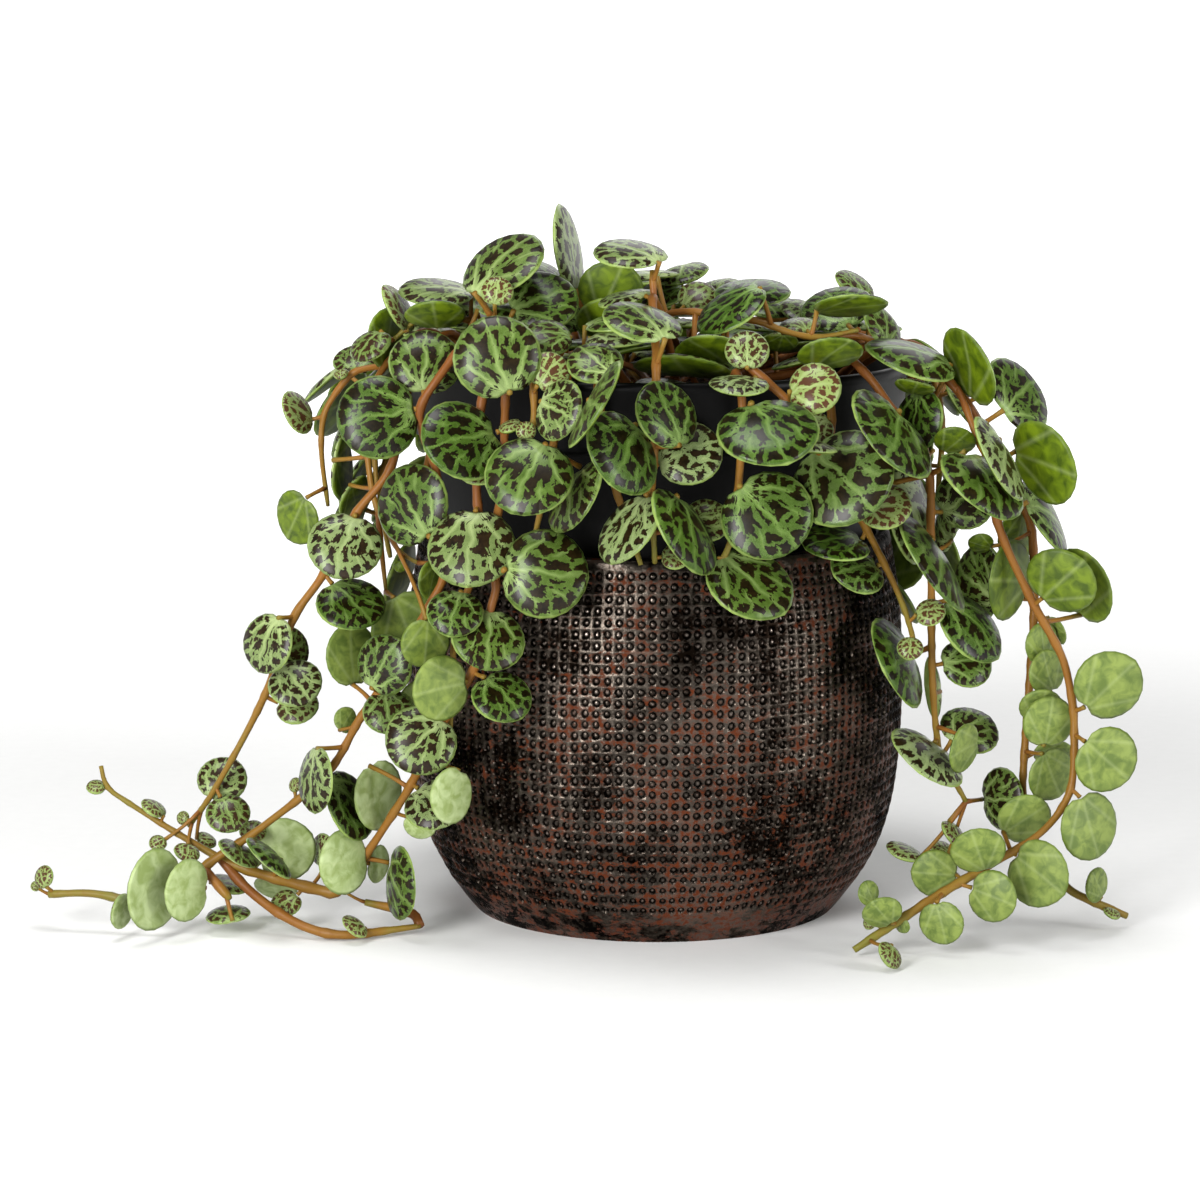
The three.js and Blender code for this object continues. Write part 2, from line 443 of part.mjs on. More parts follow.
// Places where a leaf's petiole may leave its stem, the best first
function footholds(leaf, stem) {
  const ranked = stem
    .map((point, index) => [Math.abs(size(sub(point, leaf.centre)) - leaf.radius - LEAF_REACH), index])
    .sort((a, b) => a[0] - b[0] || a[1] - b[1]);
  const best = ranked[0][1];
  return [0, 2, -2, 4, -4].map((shift) => best + shift).filter((i) => i > 0 && i < stem.length);
}

const leaves = [];
const rods = [];

function clashes(leaf, petiole, vine) {
  if (leaf.samples.some((sample) => sunk(sample.at, sample.half + CLEARANCE) > 0)) return true;
  if (leaves.some((other) => leavesTouch(leaf, other))) return true;
  const foot = petiole[0];
  for (const rod of rods) {
    const own = rod.vine === vine;
    for (const point of rod.points) {
      if (size(sub(point, leaf.centre)) < leaf.radius + 3 && ballTouches(leaf, point, rod.radius)) {
        if (!own || size(sub(point, foot)) > 2.5) return true;
      }
      if (!own || rod.petiole) {
        for (const mine of petiole.slice(own ? 2 : 0)) {
          if (size(sub(point, mine)) < PETIOLE_RADIUS + rod.radius + CLEARANCE) return true;
        }
      }
    }
  }
  return petiole.some(
    (point) =>
      sunk(point, PETIOLE_RADIUS + CLEARANCE) > 0 ||
      leaves.some((other) => ballTouches(other, point, PETIOLE_RADIUS)),
  );
}

// Sets a leaf down at the first place along its slide where it touches nothing
function placeLeaf(leaf, stem, vine) {
  for (let step = 0; step <= SLIDE_STEPS * 2; step++) {
    const slide = Math.ceil(step / 2) * (step % 2 ? 1 : -1) * SLIDE_STEP;
    const tried = { ...leaf, centre: add(leaf.centre, leaf.slide, slide) };
    tried.samples = leafSamples(tried);
    if (!leaf.fromRow && tried.samples.some((sample) => overTheTop(sample.at))) continue;
    for (const foot of footholds(tried, stem)) {
      const petiole = petioleTo(tried, stem[foot]);
      if (!clashes(tried, petiole, vine)) {
        leaves.push(tried);
        rods.push({ points: petiole, radius: PETIOLE_RADIUS, vine, petiole: true });
        return { ...tried, petiole };
      }
    }
  }
  return null;
}

// A leaf read from a row: its disc is turned so that it shows as the row's ellipse
function leafFromRow([px, py, long, short, turn, y, face]) {
  const centre = seenAt(px, py, y);
  const toEye = unit(sub(VIEW_EYE, centre));
  const right = unit(sub([1, 0, 0], add([0, 0, 0], toEye, toEye[0])));
  const up = cross(toEye, right);
  const angle = THREE.MathUtils.degToRad(turn);
  const lean = add(add([0, 0, 0], right, -Math.sin(angle)), up, Math.cos(angle));
  const ratio = Math.min(short / long, 0.98);
  const facing = face === "T" || face === "Y" ? ratio : -ratio;
  const normal = add(add([0, 0, 0], toEye, facing), lean, Math.sqrt(1 - ratio * ratio));
  const radius = ((long / 2) * size(sub(VIEW_EYE, centre))) / VIEW_FOCAL_PX;
  return { centre, normal: unit(normal), radius, half: leafHalf(radius), slide: toEye, fromRow: true };
}

// A repeatable stream of numbers from 0 to 1
function stream(seed) {
  let state = seed * 7919;
  return () => {
    state = (state * 16807) % 2147483647;
    return state / 2147483647;
  };
}

// Leaves set alternately along the part of a stem between two distances from the pot's axis
function alternateLeaves(stem, apart, reachIn, next) {
  const made = [];
  let side = 1;
  let gone = apart / 2;
  for (let i = 2; i < stem.length - 1; i++) {
    const radius = Math.hypot(stem[i][0], stem[i][1]);
    if (radius > reachIn) break;
    gone += size(sub(stem[i], stem[i - 1]));
    if (gone < apart) continue;
    gone = 0;
    side = -side;
    const along = unit(sub(stem[i + 1], stem[i - 1]));
    const overSoil = radius < NURSERY_RIM_RADIUS;
    const out = overSoil ? UP : unit([stem[i][0], stem[i][1], 6]);
    const across = unit(cross(along, out));
    const half = between(5.2, 8.4, next());
    const centre = add(
      add(stem[i], across, side * (half + 1.5) * 0.85),
      out,
      between(1, overSoil ? 3 : 4.5, next()),
    );
    const face = add(add(out, across, side * between(-0.2, 0.4, next())), UP, between(0.1, 0.8, next()));
    const tilt = add(unit(face), along, between(-0.25, 0.25, next()));
    made.push({
      centre, normal: unit(tilt), radius: half, half: leafHalf(half), slide: out,
    });
  }
  return made;
}

// A vine that climbs over the rim on a bearing and hangs behind the pot
function backVine([name, bearing, length, seed]) {
  const next = stream(seed);
  const at = (radius, z, swing) => {
    const angle = THREE.MathUtils.degToRad(bearing + swing);
    return [radius * Math.cos(angle), radius * Math.sin(angle), z];
  };
  const points = [
    at(20, SOIL_TOP + STEM_RADIUS + TOUCH_GAP, 6), at(34, 107, 3), at(46, 112.5, 0), at(54, 108, -1),
  ];
  for (let drop = 14; drop < length; drop += 15) {
    const swing = between(-5, 5, next());
    points.push(at(between(55.5, 59, next()), 110 - drop, swing));
  }
  return { name, points, shoots: [], rows: [], apart: 7.5, fillTo: 100, next };
}

function creeper([name, x, y, endX, endY, seed]) {
  const next = stream(seed);
  const points = [0, 0.34, 0.67, 1].map((share, i) => [
    between(x, endX, share) + between(-2, 2, next()),
    between(y, endY, share) + between(-2, 2, next()),
    i === 0 ? SOIL_TOP + STEM_RADIUS + TOUCH_GAP : between(106, 109, next()),
  ]);
  return { name, points, shoots: [], rows: [], apart: 5.5, fillTo: 100, next };
}

function photoVine([name, root, route, shoots, rows], index) {
  const points = [[root[0], root[1], SOIL_TOP + STEM_RADIUS + TOUCH_GAP], ...route.map((p) => seenAt(...p))];
  const arms = shoots.map((shoot) => shoot.map((p) => seenAt(...p)));
  return { name, points, shoots: arms, rows, apart: 6, fillTo: INNER_REACH, next: stream(index + 3) };
}

// Solids
function solidFrom(geometry) {
  geometry.deleteAttribute("normal");
  geometry.deleteAttribute("uv");
  const merged = mergeVertices(geometry, 1e-4);
  const solid = new wasm.Manifold(
    new wasm.Mesh({
      numProp: 3,
      vertProperties: merged.attributes.position.array,
      triVerts: new Uint32Array(merged.index.array),
    }),
  );
  return solid;
}

function geometryFrom(solid) {
  const mesh = solid.getMesh();
  return new THREE.BufferGeometry()
    .setAttribute("position", new THREE.BufferAttribute(mesh.vertProperties, 3))
    .setIndex(new THREE.BufferAttribute(mesh.triVerts, 1));
}

function sectionOf(radius, sides) {
  const corners = Array.from({ length: sides }, (_, i) => {
    const angle = (2 * Math.PI * i) / sides;
    return new THREE.Vector2(radius * Math.cos(angle), radius * Math.sin(angle));
  });
  return new THREE.Shape(corners);
}

// The fewest of the samples that keep the curve within a tolerance
function fewest(samples) {
  const [first, last] = [samples[0], samples.at(-1)];
  const along = unit(sub(last, first));
  let far = 0;
  let worst = STEM_TOLERANCE;
  samples.forEach((point, i) => {
    const away = sub(point, first);
    const share = Math.max(0, Math.min(size(sub(last, first)), dot(away, along)));
    const off = size(sub(away, add([0, 0, 0], along, share)));
    if (off > worst) [far, worst] = [i, off];
  });
  if (far === 0) return [first, last];
  return [...fewest(samples.slice(0, far + 1)).slice(0, -1), ...fewest(samples.slice(far))];
}

// A tube with a ring at each of the points
function tubeAlong(points, radius, sides) {
  const path = new THREE.CatmullRomCurve3(points.map((p) => new THREE.Vector3(...p)));
  path.getUtoTmapping = (share) => share;
  const steps = points.length - 1;
  return solidFrom(
    new THREE.ExtrudeGeometry(sectionOf(radius, sides), { steps, extrudePath: path, bevelEnabled: false }),
  );
}

// A petiole tapers from the stem to a point inside the leaf
function petioleSolid(points) {
  const [foot, tip] = [points[0], points.at(-1)];
  const span = sub(tip, foot);
  const turn = new THREE.Quaternion().setFromUnitVectors(
    new THREE.Vector3(0, 1, 0),
    new THREE.Vector3(...unit(span)),
  );
  const geometry = new THREE.ConeGeometry(PETIOLE_RADIUS, size(span), PETIOLE_SIDES);
  geometry.applyQuaternion(turn).translate(...add(foot, span, 0.5));
  return solidFrom(geometry);
}

// A leaf as a lens: round in plan, thickest in the middle and a little flatter underneath
function leafSolid(leaf) {
  const sides = leaf.radius < SMALL_LEAF_RADIUS ? SMALL_LEAF_SIDES : LEAF_SIDES;
  const profile = [
    new THREE.Vector2(0, -leaf.half * UNDERSIDE_SHARE),
    new THREE.Vector2(leaf.radius, 0),
    new THREE.Vector2(0, leaf.half),
  ];
  const geometry = new THREE.LatheGeometry(profile, sides);
  const turn = new THREE.Quaternion().setFromUnitVectors(
    new THREE.Vector3(0, 1, 0),
    new THREE.Vector3(...leaf.normal),
  );
  geometry.applyQuaternion(turn).translate(...leaf.centre);
  return solidFrom(geometry);
}

function turned(profile) {
  const geometry = new THREE.LatheGeometry(
    profile.map(([radius, z]) => new THREE.Vector2(radius, z)),
    ROUND_SIDES,
  );
  return geometry.rotateX(Math.PI / 2);
}

function cachepotProfile() {
  const inside = CACHEPOT_OUTLINE.filter((point) => point[1] > CACHEPOT_FLOOR + 4)
    .map(([radius, z]) => [radius - CACHEPOT_WALL, z])
    .reverse();
  const rim = CACHEPOT_OUTLINE.at(-1)[0];
  return [
    [0, 0], ...CACHEPOT_OUTLINE, [rim - 0.8, CACHEPOT_TOP], [rim - CACHEPOT_WALL + 0.8, CACHEPOT_TOP],
    ...inside, [37.5, CACHEPOT_FLOOR], [0, CACHEPOT_FLOOR],
  ];
}

const NURSERY_FOOT = CACHEPOT_FLOOR + TOUCH_GAP;
const COLLAR_FOOT = NURSERY_TOP - COLLAR_HEIGHT;

function nurseryProfile() {
  const bead = 0.9;
  return [
    [0, NURSERY_FOOT], [NURSERY_BASE_RADIUS, NURSERY_FOOT], [NURSERY_BODY_TOP_RADIUS, COLLAR_FOOT],
    [NURSERY_RIM_RADIUS - bead, COLLAR_FOOT], [NURSERY_RIM_RADIUS - 0.4, NURSERY_TOP - 2],
    [NURSERY_RIM_RADIUS, NURSERY_TOP - 1], [NURSERY_RIM_RADIUS - bead, NURSERY_TOP],
    [NURSERY_RIM_RADIUS - bead - 1, NURSERY_TOP - 0.4],
    [NURSERY_RIM_RADIUS - bead - NURSERY_WALL, COLLAR_FOOT + NURSERY_WALL],
    [NURSERY_BODY_TOP_RADIUS - NURSERY_WALL, COLLAR_FOOT + NURSERY_WALL],
    [NURSERY_BASE_RADIUS - NURSERY_WALL, NURSERY_FOOT + NURSERY_WALL], [0, NURSERY_FOOT + NURSERY_WALL],
  ];
}

function soilProfile() {
  const shrink = NURSERY_WALL + TOUCH_GAP;
  return [
    [0, NURSERY_FOOT + shrink], [NURSERY_BASE_RADIUS - shrink - 0.3, NURSERY_FOOT + shrink],
    [NURSERY_BODY_TOP_RADIUS - shrink - 0.1, COLLAR_FOOT + shrink],
    [NURSERY_RIM_RADIUS - shrink - 1.2, COLLAR_FOOT + shrink], [NURSERY_RIM_RADIUS - shrink - 1.2, SOIL_TOP],
    [0, SOIL_TOP],
  ];
}

function drainHole(index) {
  const angle = (2 * Math.PI * index) / DRAIN_HOLE_COUNT;
  return solidFrom(
    new THREE.CylinderGeometry(DRAIN_HOLE_RADIUS, DRAIN_HOLE_RADIUS, 4 * NURSERY_WALL, 12)
      .rotateX(Math.PI / 2)
      .translate(DRAIN_RING_RADIUS * Math.cos(angle), DRAIN_RING_RADIUS * Math.sin(angle), NURSERY_FOOT),
  );
}

const potted = new THREE.Group();

function addMesh(name, geometry, colour, roughness, metalness = 0) {
  const material = new THREE.MeshStandardMaterial({ color: colour, roughness, metalness });
  const mesh = new THREE.Mesh(geometry, material);
  mesh.name = name;
  potted.add(mesh);
}

addMesh("cachepot", turned(cachepotProfile()), 0x3a2a24, 0.4, 0.3);
let nursery = solidFrom(turned(nurseryProfile()));
for (let i = 0; i < DRAIN_HOLE_COUNT; i++) nursery = nursery.subtract(drainHole(i));
addMesh("nursery_pot", geometryFrom(nursery), 0x141414, 0.35);
addMesh("potting_mix", turned(soilProfile()), 0x3b2a1e, 0.95);

// Stems are laid first, so that every leaf can keep clear of all of them.
const vines = [
  ...VINES.map(photoVine),
  ...BACK_VINES.map(backVine),
  ...CREEPERS.map(creeper),
];
const laid = [];
for (const vine of vines) {
  const stem = layStem(vine.points, laid, false);
  const shoots = vine.shoots.map((shoot) => {
    const start = stem.reduce((best, p) => (size(sub(p, shoot[0])) < size(sub(best, shoot[0])) ? p : best));
    return layStem([start, ...shoot.slice(1)], laid, true);
  });
  vine.tubes = [stem, ...shoots];
  for (const tube of vine.tubes) {
    laid.push(...tube);
    rods.push({ points: tube, radius: STEM_RADIUS, vine: vine.name, petiole: false });
  }
}

// Leaves that the picture shows are set first, then those that fill in over the soil and behind.
for (const vine of vines) vine.leaves = [];
const settle = (vine, wanted) => {
  for (const leaf of wanted) {
    const set = placeLeaf(leaf, vine.tubes.flat(), vine.name);
    if (set) vine.leaves.push(set);
  }
};
for (const vine of vines) settle(vine, vine.rows.map(leafFromRow));
for (const vine of vines) settle(vine, alternateLeaves(vine.tubes[0], vine.apart, vine.fillTo, vine.next));

for (const vine of vines) {
  let solid = tubeAlong(fewest(vine.tubes[0]), STEM_RADIUS, STEM_SIDES);
  for (const tube of vine.tubes.slice(1)) {
    solid = solid.add(tubeAlong(fewest(tube), STEM_RADIUS * 0.98, STEM_SIDES));
  }
  for (const leaf of vine.leaves) solid = solid.add(leafSolid(leaf)).add(petioleSolid(leaf.petiole));
  addMesh(vine.name, geometryFrom(solid), 0x5f8f3a, 0.4);
}

export default potted;
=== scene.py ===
# %% [markdown]
# # A potted string of turtles
# A string of turtles is a small trailing plant. Its leaves are round, fleshy and marked like a
# turtle's shell, and it is sold in a black plastic nursery pot, which here stands inside a dimpled
# ceramic cachepot. The solids were made first, in millimetres, so every stem and leaf already has its
# place. This lesson reads those places back and gives each piece the shape and finish of the real one.

# %% Setting up
import math
import random

import bmesh
import bpy
import numpy as np
from mathutils import Matrix, Vector, noise


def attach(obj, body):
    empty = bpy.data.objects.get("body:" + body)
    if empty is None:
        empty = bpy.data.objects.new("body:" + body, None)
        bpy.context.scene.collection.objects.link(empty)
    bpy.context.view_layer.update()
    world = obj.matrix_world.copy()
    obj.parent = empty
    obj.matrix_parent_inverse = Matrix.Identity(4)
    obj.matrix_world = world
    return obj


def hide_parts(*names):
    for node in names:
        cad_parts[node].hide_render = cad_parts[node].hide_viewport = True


MM = 0.001
noise.seed_set(7)
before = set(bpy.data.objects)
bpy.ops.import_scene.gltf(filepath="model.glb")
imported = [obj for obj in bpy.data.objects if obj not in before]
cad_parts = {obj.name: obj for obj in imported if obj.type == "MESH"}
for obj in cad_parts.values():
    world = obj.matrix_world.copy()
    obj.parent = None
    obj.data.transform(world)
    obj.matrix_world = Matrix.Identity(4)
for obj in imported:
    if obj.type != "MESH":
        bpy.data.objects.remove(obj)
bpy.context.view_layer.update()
print("solids", sorted(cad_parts))

# %% [markdown]
# The camera stands where the photographer stood: about three quarters of a metre away, a little to the
# left and looking down by nine degrees. It comes first, because a few leaves are picked out below by
# where they show in the picture, which is 1200 pixels square.

# %% The camera
PICTURE_PX = 1200
FOCAL_PX = 3765
EYE = Vector((-10.9, -740, 178))
PITCH = math.radians(9)
SENSOR_MM = 36

camera_data = bpy.data.cameras.new("camera")
camera_data.sensor_width = SENSOR_MM
camera_data.lens = SENSOR_MM * FOCAL_PX / PICTURE_PX
camera = bpy.data.objects.new("camera", camera_data)
camera.location = EYE * MM
camera.rotation_euler = (math.pi / 2 - PITCH, 0, 0)
bpy.context.scene.collection.objects.link(camera)
bpy.context.scene.camera = camera


def in_picture(point):
    """Where a point in millimetres shows in the picture, in pixels across and down."""
    seen = Matrix.Rotation(PITCH - math.pi / 2, 3, "X") @ (point - EYE)
    middle = PICTURE_PX / 2
    return Vector((middle - FOCAL_PX * seen.x / seen.z, middle + FOCAL_PX * seen.y / seen.z))


print("lens", round(camera_data.lens, 1), "mm; origin shows at", in_picture(Vector((0, 0, 0)))[:])

# %% [markdown]
# Every material below is a small tree of nodes. One function adds a node, sets its properties and
# joins its inputs, one lays colours over one another, and one turns the colours, which are written as
# they would be picked on a screen, into the linear values that Blender works in. An input goes by its
# name, or by its number where several share a name: a Map Range node's 1 to 4 are the two ends of the
# range that comes in and the two of the range that goes out, and a Mix node's 6 and 7 are its colours.


# %% Helpers for materials
def linear(code):
    """A colour written as sRGB hex, as linear red, green, blue and alpha."""
    parts = [int(code[i : i + 2], 16) / 255 for i in (1, 3, 5)]
    return [p / 12.92 if p <= 0.04045 else ((p + 0.055) / 1.055) ** 2.4 for p in parts] + [1.0]


def join(tree, socket, value):
    """Gives a socket a value, another node's output, or the first live output of a whole node."""
    if isinstance(value, bpy.types.Node):
        value = next(output for output in value.outputs if output.enabled)
    if isinstance(value, bpy.types.NodeSocket):
        tree.links.new(value, socket)
    else:
        socket.default_value = value


def add_node(tree, kind, inputs=None, **settings):
    """A node with its settings and its inputs."""
    node = tree.nodes.new("ShaderNode" + kind)
    for name, value in settings.items():
        setattr(node, name, value)
    for name, value in (inputs or {}).items():
        join(tree, node.inputs[name], value)
    return node


def layered(tree, base, *coats):
    """A colour with others laid over it in turn, each as far as its mask says."""
    for mask, colour in coats:
        base = add_node(tree, "Mix", {"Factor": mask, 6: base, 7: colour}, data_type="RGBA")
    return base


def new_material(name):
    """An empty material with its node tree and its shader, joined to the output."""
    material = bpy.data.materials.new(name)
    material.use_nodes = True
    material.node_tree.nodes.clear()
    shader = add_node(material.node_tree, "BsdfPrincipled")
    add_node(material.node_tree, "OutputMaterial", {"Surface": shader.outputs["BSDF"]})
    return material, material.node_tree, shader


def feed(tree, shader, **inputs):
    """Sets or joins the shader's inputs, whose names are written with underscores."""
    for name, value in inputs.items():
        join(tree, shader.inputs[name.replace("_", " ")], value)


# %% [markdown]
# A finished piece is one object at the origin, with its place in its mesh. It rides on the plant's only
# body, and the solid it stands for is hidden.


# %% Helpers for pieces
def spun(profile, steps):
    """A closed shape turned about Z, ring by ring, from points of radius and height."""
    bm = bmesh.new()
    turns = [2 * math.pi * i / steps for i in range(steps)]
    rings = []
    for radius, height in profile:
        if radius:
            rings.append([bm.verts.new((radius * math.cos(a), radius * math.sin(a), height)) for a in turns])
        else:
            rings.append([bm.verts.new((0, 0, height))] * steps)
    for near_ring, far_ring in zip(rings, rings[1:]):
        for i in range(steps):
            j = (i + 1) % steps
            corners = dict.fromkeys((near_ring[i], near_ring[j], far_ring[j], far_ring[i]))
            bm.faces.new(list(corners))
    bmesh.ops.recalc_face_normals(bm, faces=bm.faces)
    return bm


def finish_piece(bm, name, node, materials):
    """Turns a bmesh in millimetres into a smooth piece that stands for a solid."""
    bmesh.ops.scale(bm, vec=(MM, MM, MM), verts=bm.verts)
    mesh = bpy.data.meshes.new(name)
    bm.to_mesh(mesh)
    bm.free()
    mesh.shade_smooth()
    for material in materials:
        mesh.materials.append(material)
    piece = bpy.data.objects.new(name, mesh)
    bpy.context.scene.collection.objects.link(piece)
    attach(piece, "root")
    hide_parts(node)
    print(name, len(mesh.polygons), "faces")
    return piece


# %% [markdown]
# ## Reading the vines
# Each vine's solid is a square tube for the stem, a thin spike for each leaf stalk and a flat lens for
# each leaf. Their corners tell where everything is. A lens has two points, one over each face, that
# share a ring of corners, and it is more domed above than below. A tube has four corners around each
# point of its path, whose two diagonals cross there.

# %% What the solids were made with
STEM_RADIUS = 0.85
SHOOT_RADIUS = STEM_RADIUS * 0.98
LENS_DOMES = 1.8
LENS_UNDER = 0.8 / LENS_DOMES
LENS_SPREAD = 0.04
LENS_LEAST = 0.35
CORNER_MATCH = 0.006
ROOT_HEIGHT = 104
LONGEST_JUMP = 45


def welded(node):
    """A solid's corners in millimetres, each listed once, and the neighbours of each."""
    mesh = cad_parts[node].data
    places = np.empty(len(mesh.vertices) * 3)
    mesh.vertices.foreach_get("co", places)
    places = places.reshape(-1, 3) / MM
    kept, index = np.unique(places.round(3), axis=0, return_inverse=True)
    near = [set() for _ in kept]
    for edge in mesh.edges:
        a, b = (int(index.ravel()[v]) for v in edge.vertices)
        near[a].add(b)
        near[b].add(a)
    return kept, near


def read_leaves(points, near):
    """Each leaf's middle, upward direction, radius and the corners that belong to it."""
    leaves = []
    for top in range(len(points)):
        shared = {}
        for corner in near[top]:
            for other in near[corner] - near[top]:
                shared.setdefault(other, []).append(corner)
        for under, ring in shared.items():
            gap = np.linalg.norm(points[top] - points[under])
            if len(ring) < 3 or not 0.6 < gap < 1.6:
                continue
            up = (points[top] - points[under]) / gap
            reach = points[ring] - points[under]
            rise = reach @ up
            out = np.linalg.norm(reach - np.outer(rise, up), axis=1)
            radius = np.median(out)
            even = abs(out - radius) < 0.01
            lens_gap = LENS_DOMES * (LENS_SPREAD * radius + LENS_LEAST)
            if even.sum() < 3 or abs(gap - lens_gap) > 0.02 or np.median(rise[even]) / gap > 0.5:
                continue
            middle = points[under] + up * gap * LENS_UNDER
            if all(np.linalg.norm(middle - leaf["middle"]) > 0.1 for leaf in leaves):
                own = {top, under, *(corner for corner, fits in zip(ring, even) if fits)}
                leaves.append({"middle": middle, "up": up, "radius": radius, "corners": own})
    return leaves


def read_rings(points, taken, radius):
    """The points of a tube's path, each with its four corners."""
    left = [i for i in range(len(points)) if i not in taken]
    crossings = []
    for n, i in enumerate(left):
        lengths = np.linalg.norm(points[left[n + 1 :]] - points[i], axis=1)
        for j in np.nonzero(abs(lengths - 2 * radius) < CORNER_MATCH)[0]:
            crossings.append((i, left[n + 1 + j]))
    rings = []
    used = set()
    middles = np.array([(points[i] + points[j]) / 2 for i, j in crossings])
    for n, (i, j) in enumerate(crossings):
        if n in used:
            continue
        for m in np.nonzero(np.linalg.norm(middles[n + 1 :] - middles[n], axis=1) < 0.01)[0] + n + 1:
            k, l = crossings[m]
            if m not in used and abs((points[i] - points[j]) @ (points[k] - points[l])) < 0.05:
                used |= {n, int(m)}
                rings.append({"middle": middles[n], "corners": {i, j, k, l}})
                break
    return rings


# %% [markdown]
# The path's points come in no order, so each path is walked from its root. A point that an edge of the
# solid joins to the last one comes next, and where no edge is left whole, the nearest point does.


# %% Walking along the stems
def distance(a, b):
    return float(np.linalg.norm(a["middle"] - b["middle"]))


def walk(rings, near, start):
    """The rings in order from the start."""
    path = [start]
    left = [ring for ring in rings if ring is not start]
    while left:
        reached = set().union(*(near[corner] for corner in path[-1]["corners"]))
        linked = [ring for ring in left if ring["corners"] & reached]
        if not linked and min(distance(path[-1], ring) for ring in left) > LONGEST_JUMP:
            break
        step = min(linked or left, key=lambda ring: distance(path[-1], ring))
        path.append(step)
        left = [ring for ring in left if ring is not step]
    return path


def read_stems(points, near, taken):
    """The stem's path from its root, then those of its side shoots."""
    main = read_rings(points, taken, STEM_RADIUS)
    root = min(
        main, key=lambda ring: math.hypot(*ring["middle"][:2]) + 3 * abs(ring["middle"][2] - ROOT_HEIGHT),
    )
    path = walk(main, near, root)
    paths = [[Vector(ring["middle"]) for ring in path]]
    shoots = read_rings(points, taken, SHOOT_RADIUS)
    while shoots:
        grown = [spot for path in paths for spot in smooth_path(path)]
        gaps = [min((Vector(ring["middle"]) - spot).length for spot in grown) for ring in shoots]
        first = shoots[int(np.argmin(gaps))]
        path, shoots = walk_linked(shoots, near, first)
        foot = min(grown, key=lambda spot: (Vector(first["middle"]) - spot).length)
        paths.append([foot] + [Vector(ring["middle"]) for ring in path])
    return paths


def walk_linked(rings, near, start):
    """The rings that edges join in one run from the start, and those left over."""
    path = [start]
    left = [ring for ring in rings if ring is not start]
    while True:
        reached = set().union(*(near[corner] for corner in path[-1]["corners"]))
        linked = [ring for ring in left if ring["corners"] & reached]
        if not linked:
            return path, left
        path.append(min(linked, key=lambda ring: distance(path[-1], ring)))
        left = [ring for ring in left if ring is not path[-1]]


def smooth_path(spots, step=1.2):
    """A smooth curve through the spots, with a point every step or so."""
    if len(spots) < 2:
        return list(spots)
    ends = [spots[0] * 2 - spots[1], spots[-1] * 2 - spots[-2]]
    run = [ends[0], *spots, ends[1]]
    curve = []
    for before, here, there, after in zip(run, run[1:], run[2:], run[3:]):
        span = (there - here).length
        leave = (there - before) / ((here - before).length + span) * span
        arrive = (after - here) / ((after - there).length + span) * span
        count = max(1, round(span / step))
        for i in range(count):
            t = i / count
            curve.append(
                here * (2 * t**3 - 3 * t**2 + 1) + leave * (t**3 - 2 * t**2 + t)
                + there * (3 * t**2 - 2 * t**3) + arrive * (t**3 - t**2)
            )
    return [*curve, spots[-1]]


# %% [markdown]
# A leaf stalk's spike runs from the stem into the leaf. The corners where it cuts the lens show where
# it enters, and the far ends of its edges show where it leaves the stem.


# %% Finding each leaf's stalk
def read_stalk(leaf, points, near, curves):
    """The spot on the stem that a leaf grows from."""
    away = points - leaf["middle"]
    rise = away @ leaf["up"]
    flat = np.linalg.norm(away - np.outer(rise, leaf["up"]), axis=1)
    thick = LENS_SPREAD * leaf["radius"] + LENS_LEAST + 0.02
    cut = [
        int(i) for i in np.nonzero((abs(rise) < thick) & (flat < leaf["radius"] * 0.97))[0]
        if i not in leaf["corners"]
    ]
    far = [points[n] for i in cut for n in near[i] if n not in leaf["corners"] and n not in cut]
    spots = [spot for curve in curves for spot in curve]
    if far:
        aim = Vector(np.mean(far, axis=0))
        return min(spots, key=lambda spot: (spot - aim).length)
    middle = Vector(leaf["middle"])
    return min(spots, key=lambda spot: abs((spot - middle).length - leaf["radius"] - 2))


def read_vine(node):
    """A vine's smooth stems, and its leaves with the spot that each grows from."""
    points, near = welded(node)
    leaves = read_leaves(points, near)
    taken = {corner for leaf in leaves for corner in leaf["corners"]}
    curves = [smooth_path(path) for path in read_stems(points, near, taken)]
    for leaf in leaves:
        leaf["foot"] = read_stalk(leaf, points, near, curves)
        leaf["middle"] = Vector(leaf["middle"])
        leaf["up"] = Vector(leaf["up"])
    return {"name": node, "curves": curves, "leaves": leaves}


vines = [read_vine(node) for node in sorted(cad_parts) if node.startswith("vine")]
print(len(vines), "vines,", sum(len(vine["leaves"]) for vine in vines), "leaves")

# %% [markdown]
# ## The cachepot
# The cachepot is thrown stoneware with a metallic bronze glaze. Its side is covered with rows of small
# round dimples, each a ring pressed around a tiny boss, and the clay between the rows stands up in soft
# ridges. A bump texture could draw them, but real ones catch the light from every side and stay with
# the pot when it is exported. So the wall is spun as a grid with one square for each of them. An inset
# makes the dimple's lip, a second one sinks its ring, and poking what is left raises the boss.

# %% The cachepot's shape
POT_OUTLINE = [
    (36.2, 0.0), (38.2, 2.4), (41.9, 7.8), (45.7, 15.6), (48.1, 26.0), (49.2, 42.6), (48.6, 60.0),
    (46.5, 74.6),
]
POT_WALL = 3.0
POT_FLOOR = 8.0
DIMPLE_PITCH = 2.15
DIMPLES_ROUND = 144
PLAIN_FOOT = 6.4
PLAIN_RIM = 0.9
RIDGE_RISE = 0.13
LIP_SHARE = 0.84
LIP_RISE = 0.05
RING_SHARE = 0.55
RING_DEPTH = 0.4
BOSS_DEPTH = 0.16
ROW_WANDER = 0.55
HAND_SLIP = 0.07


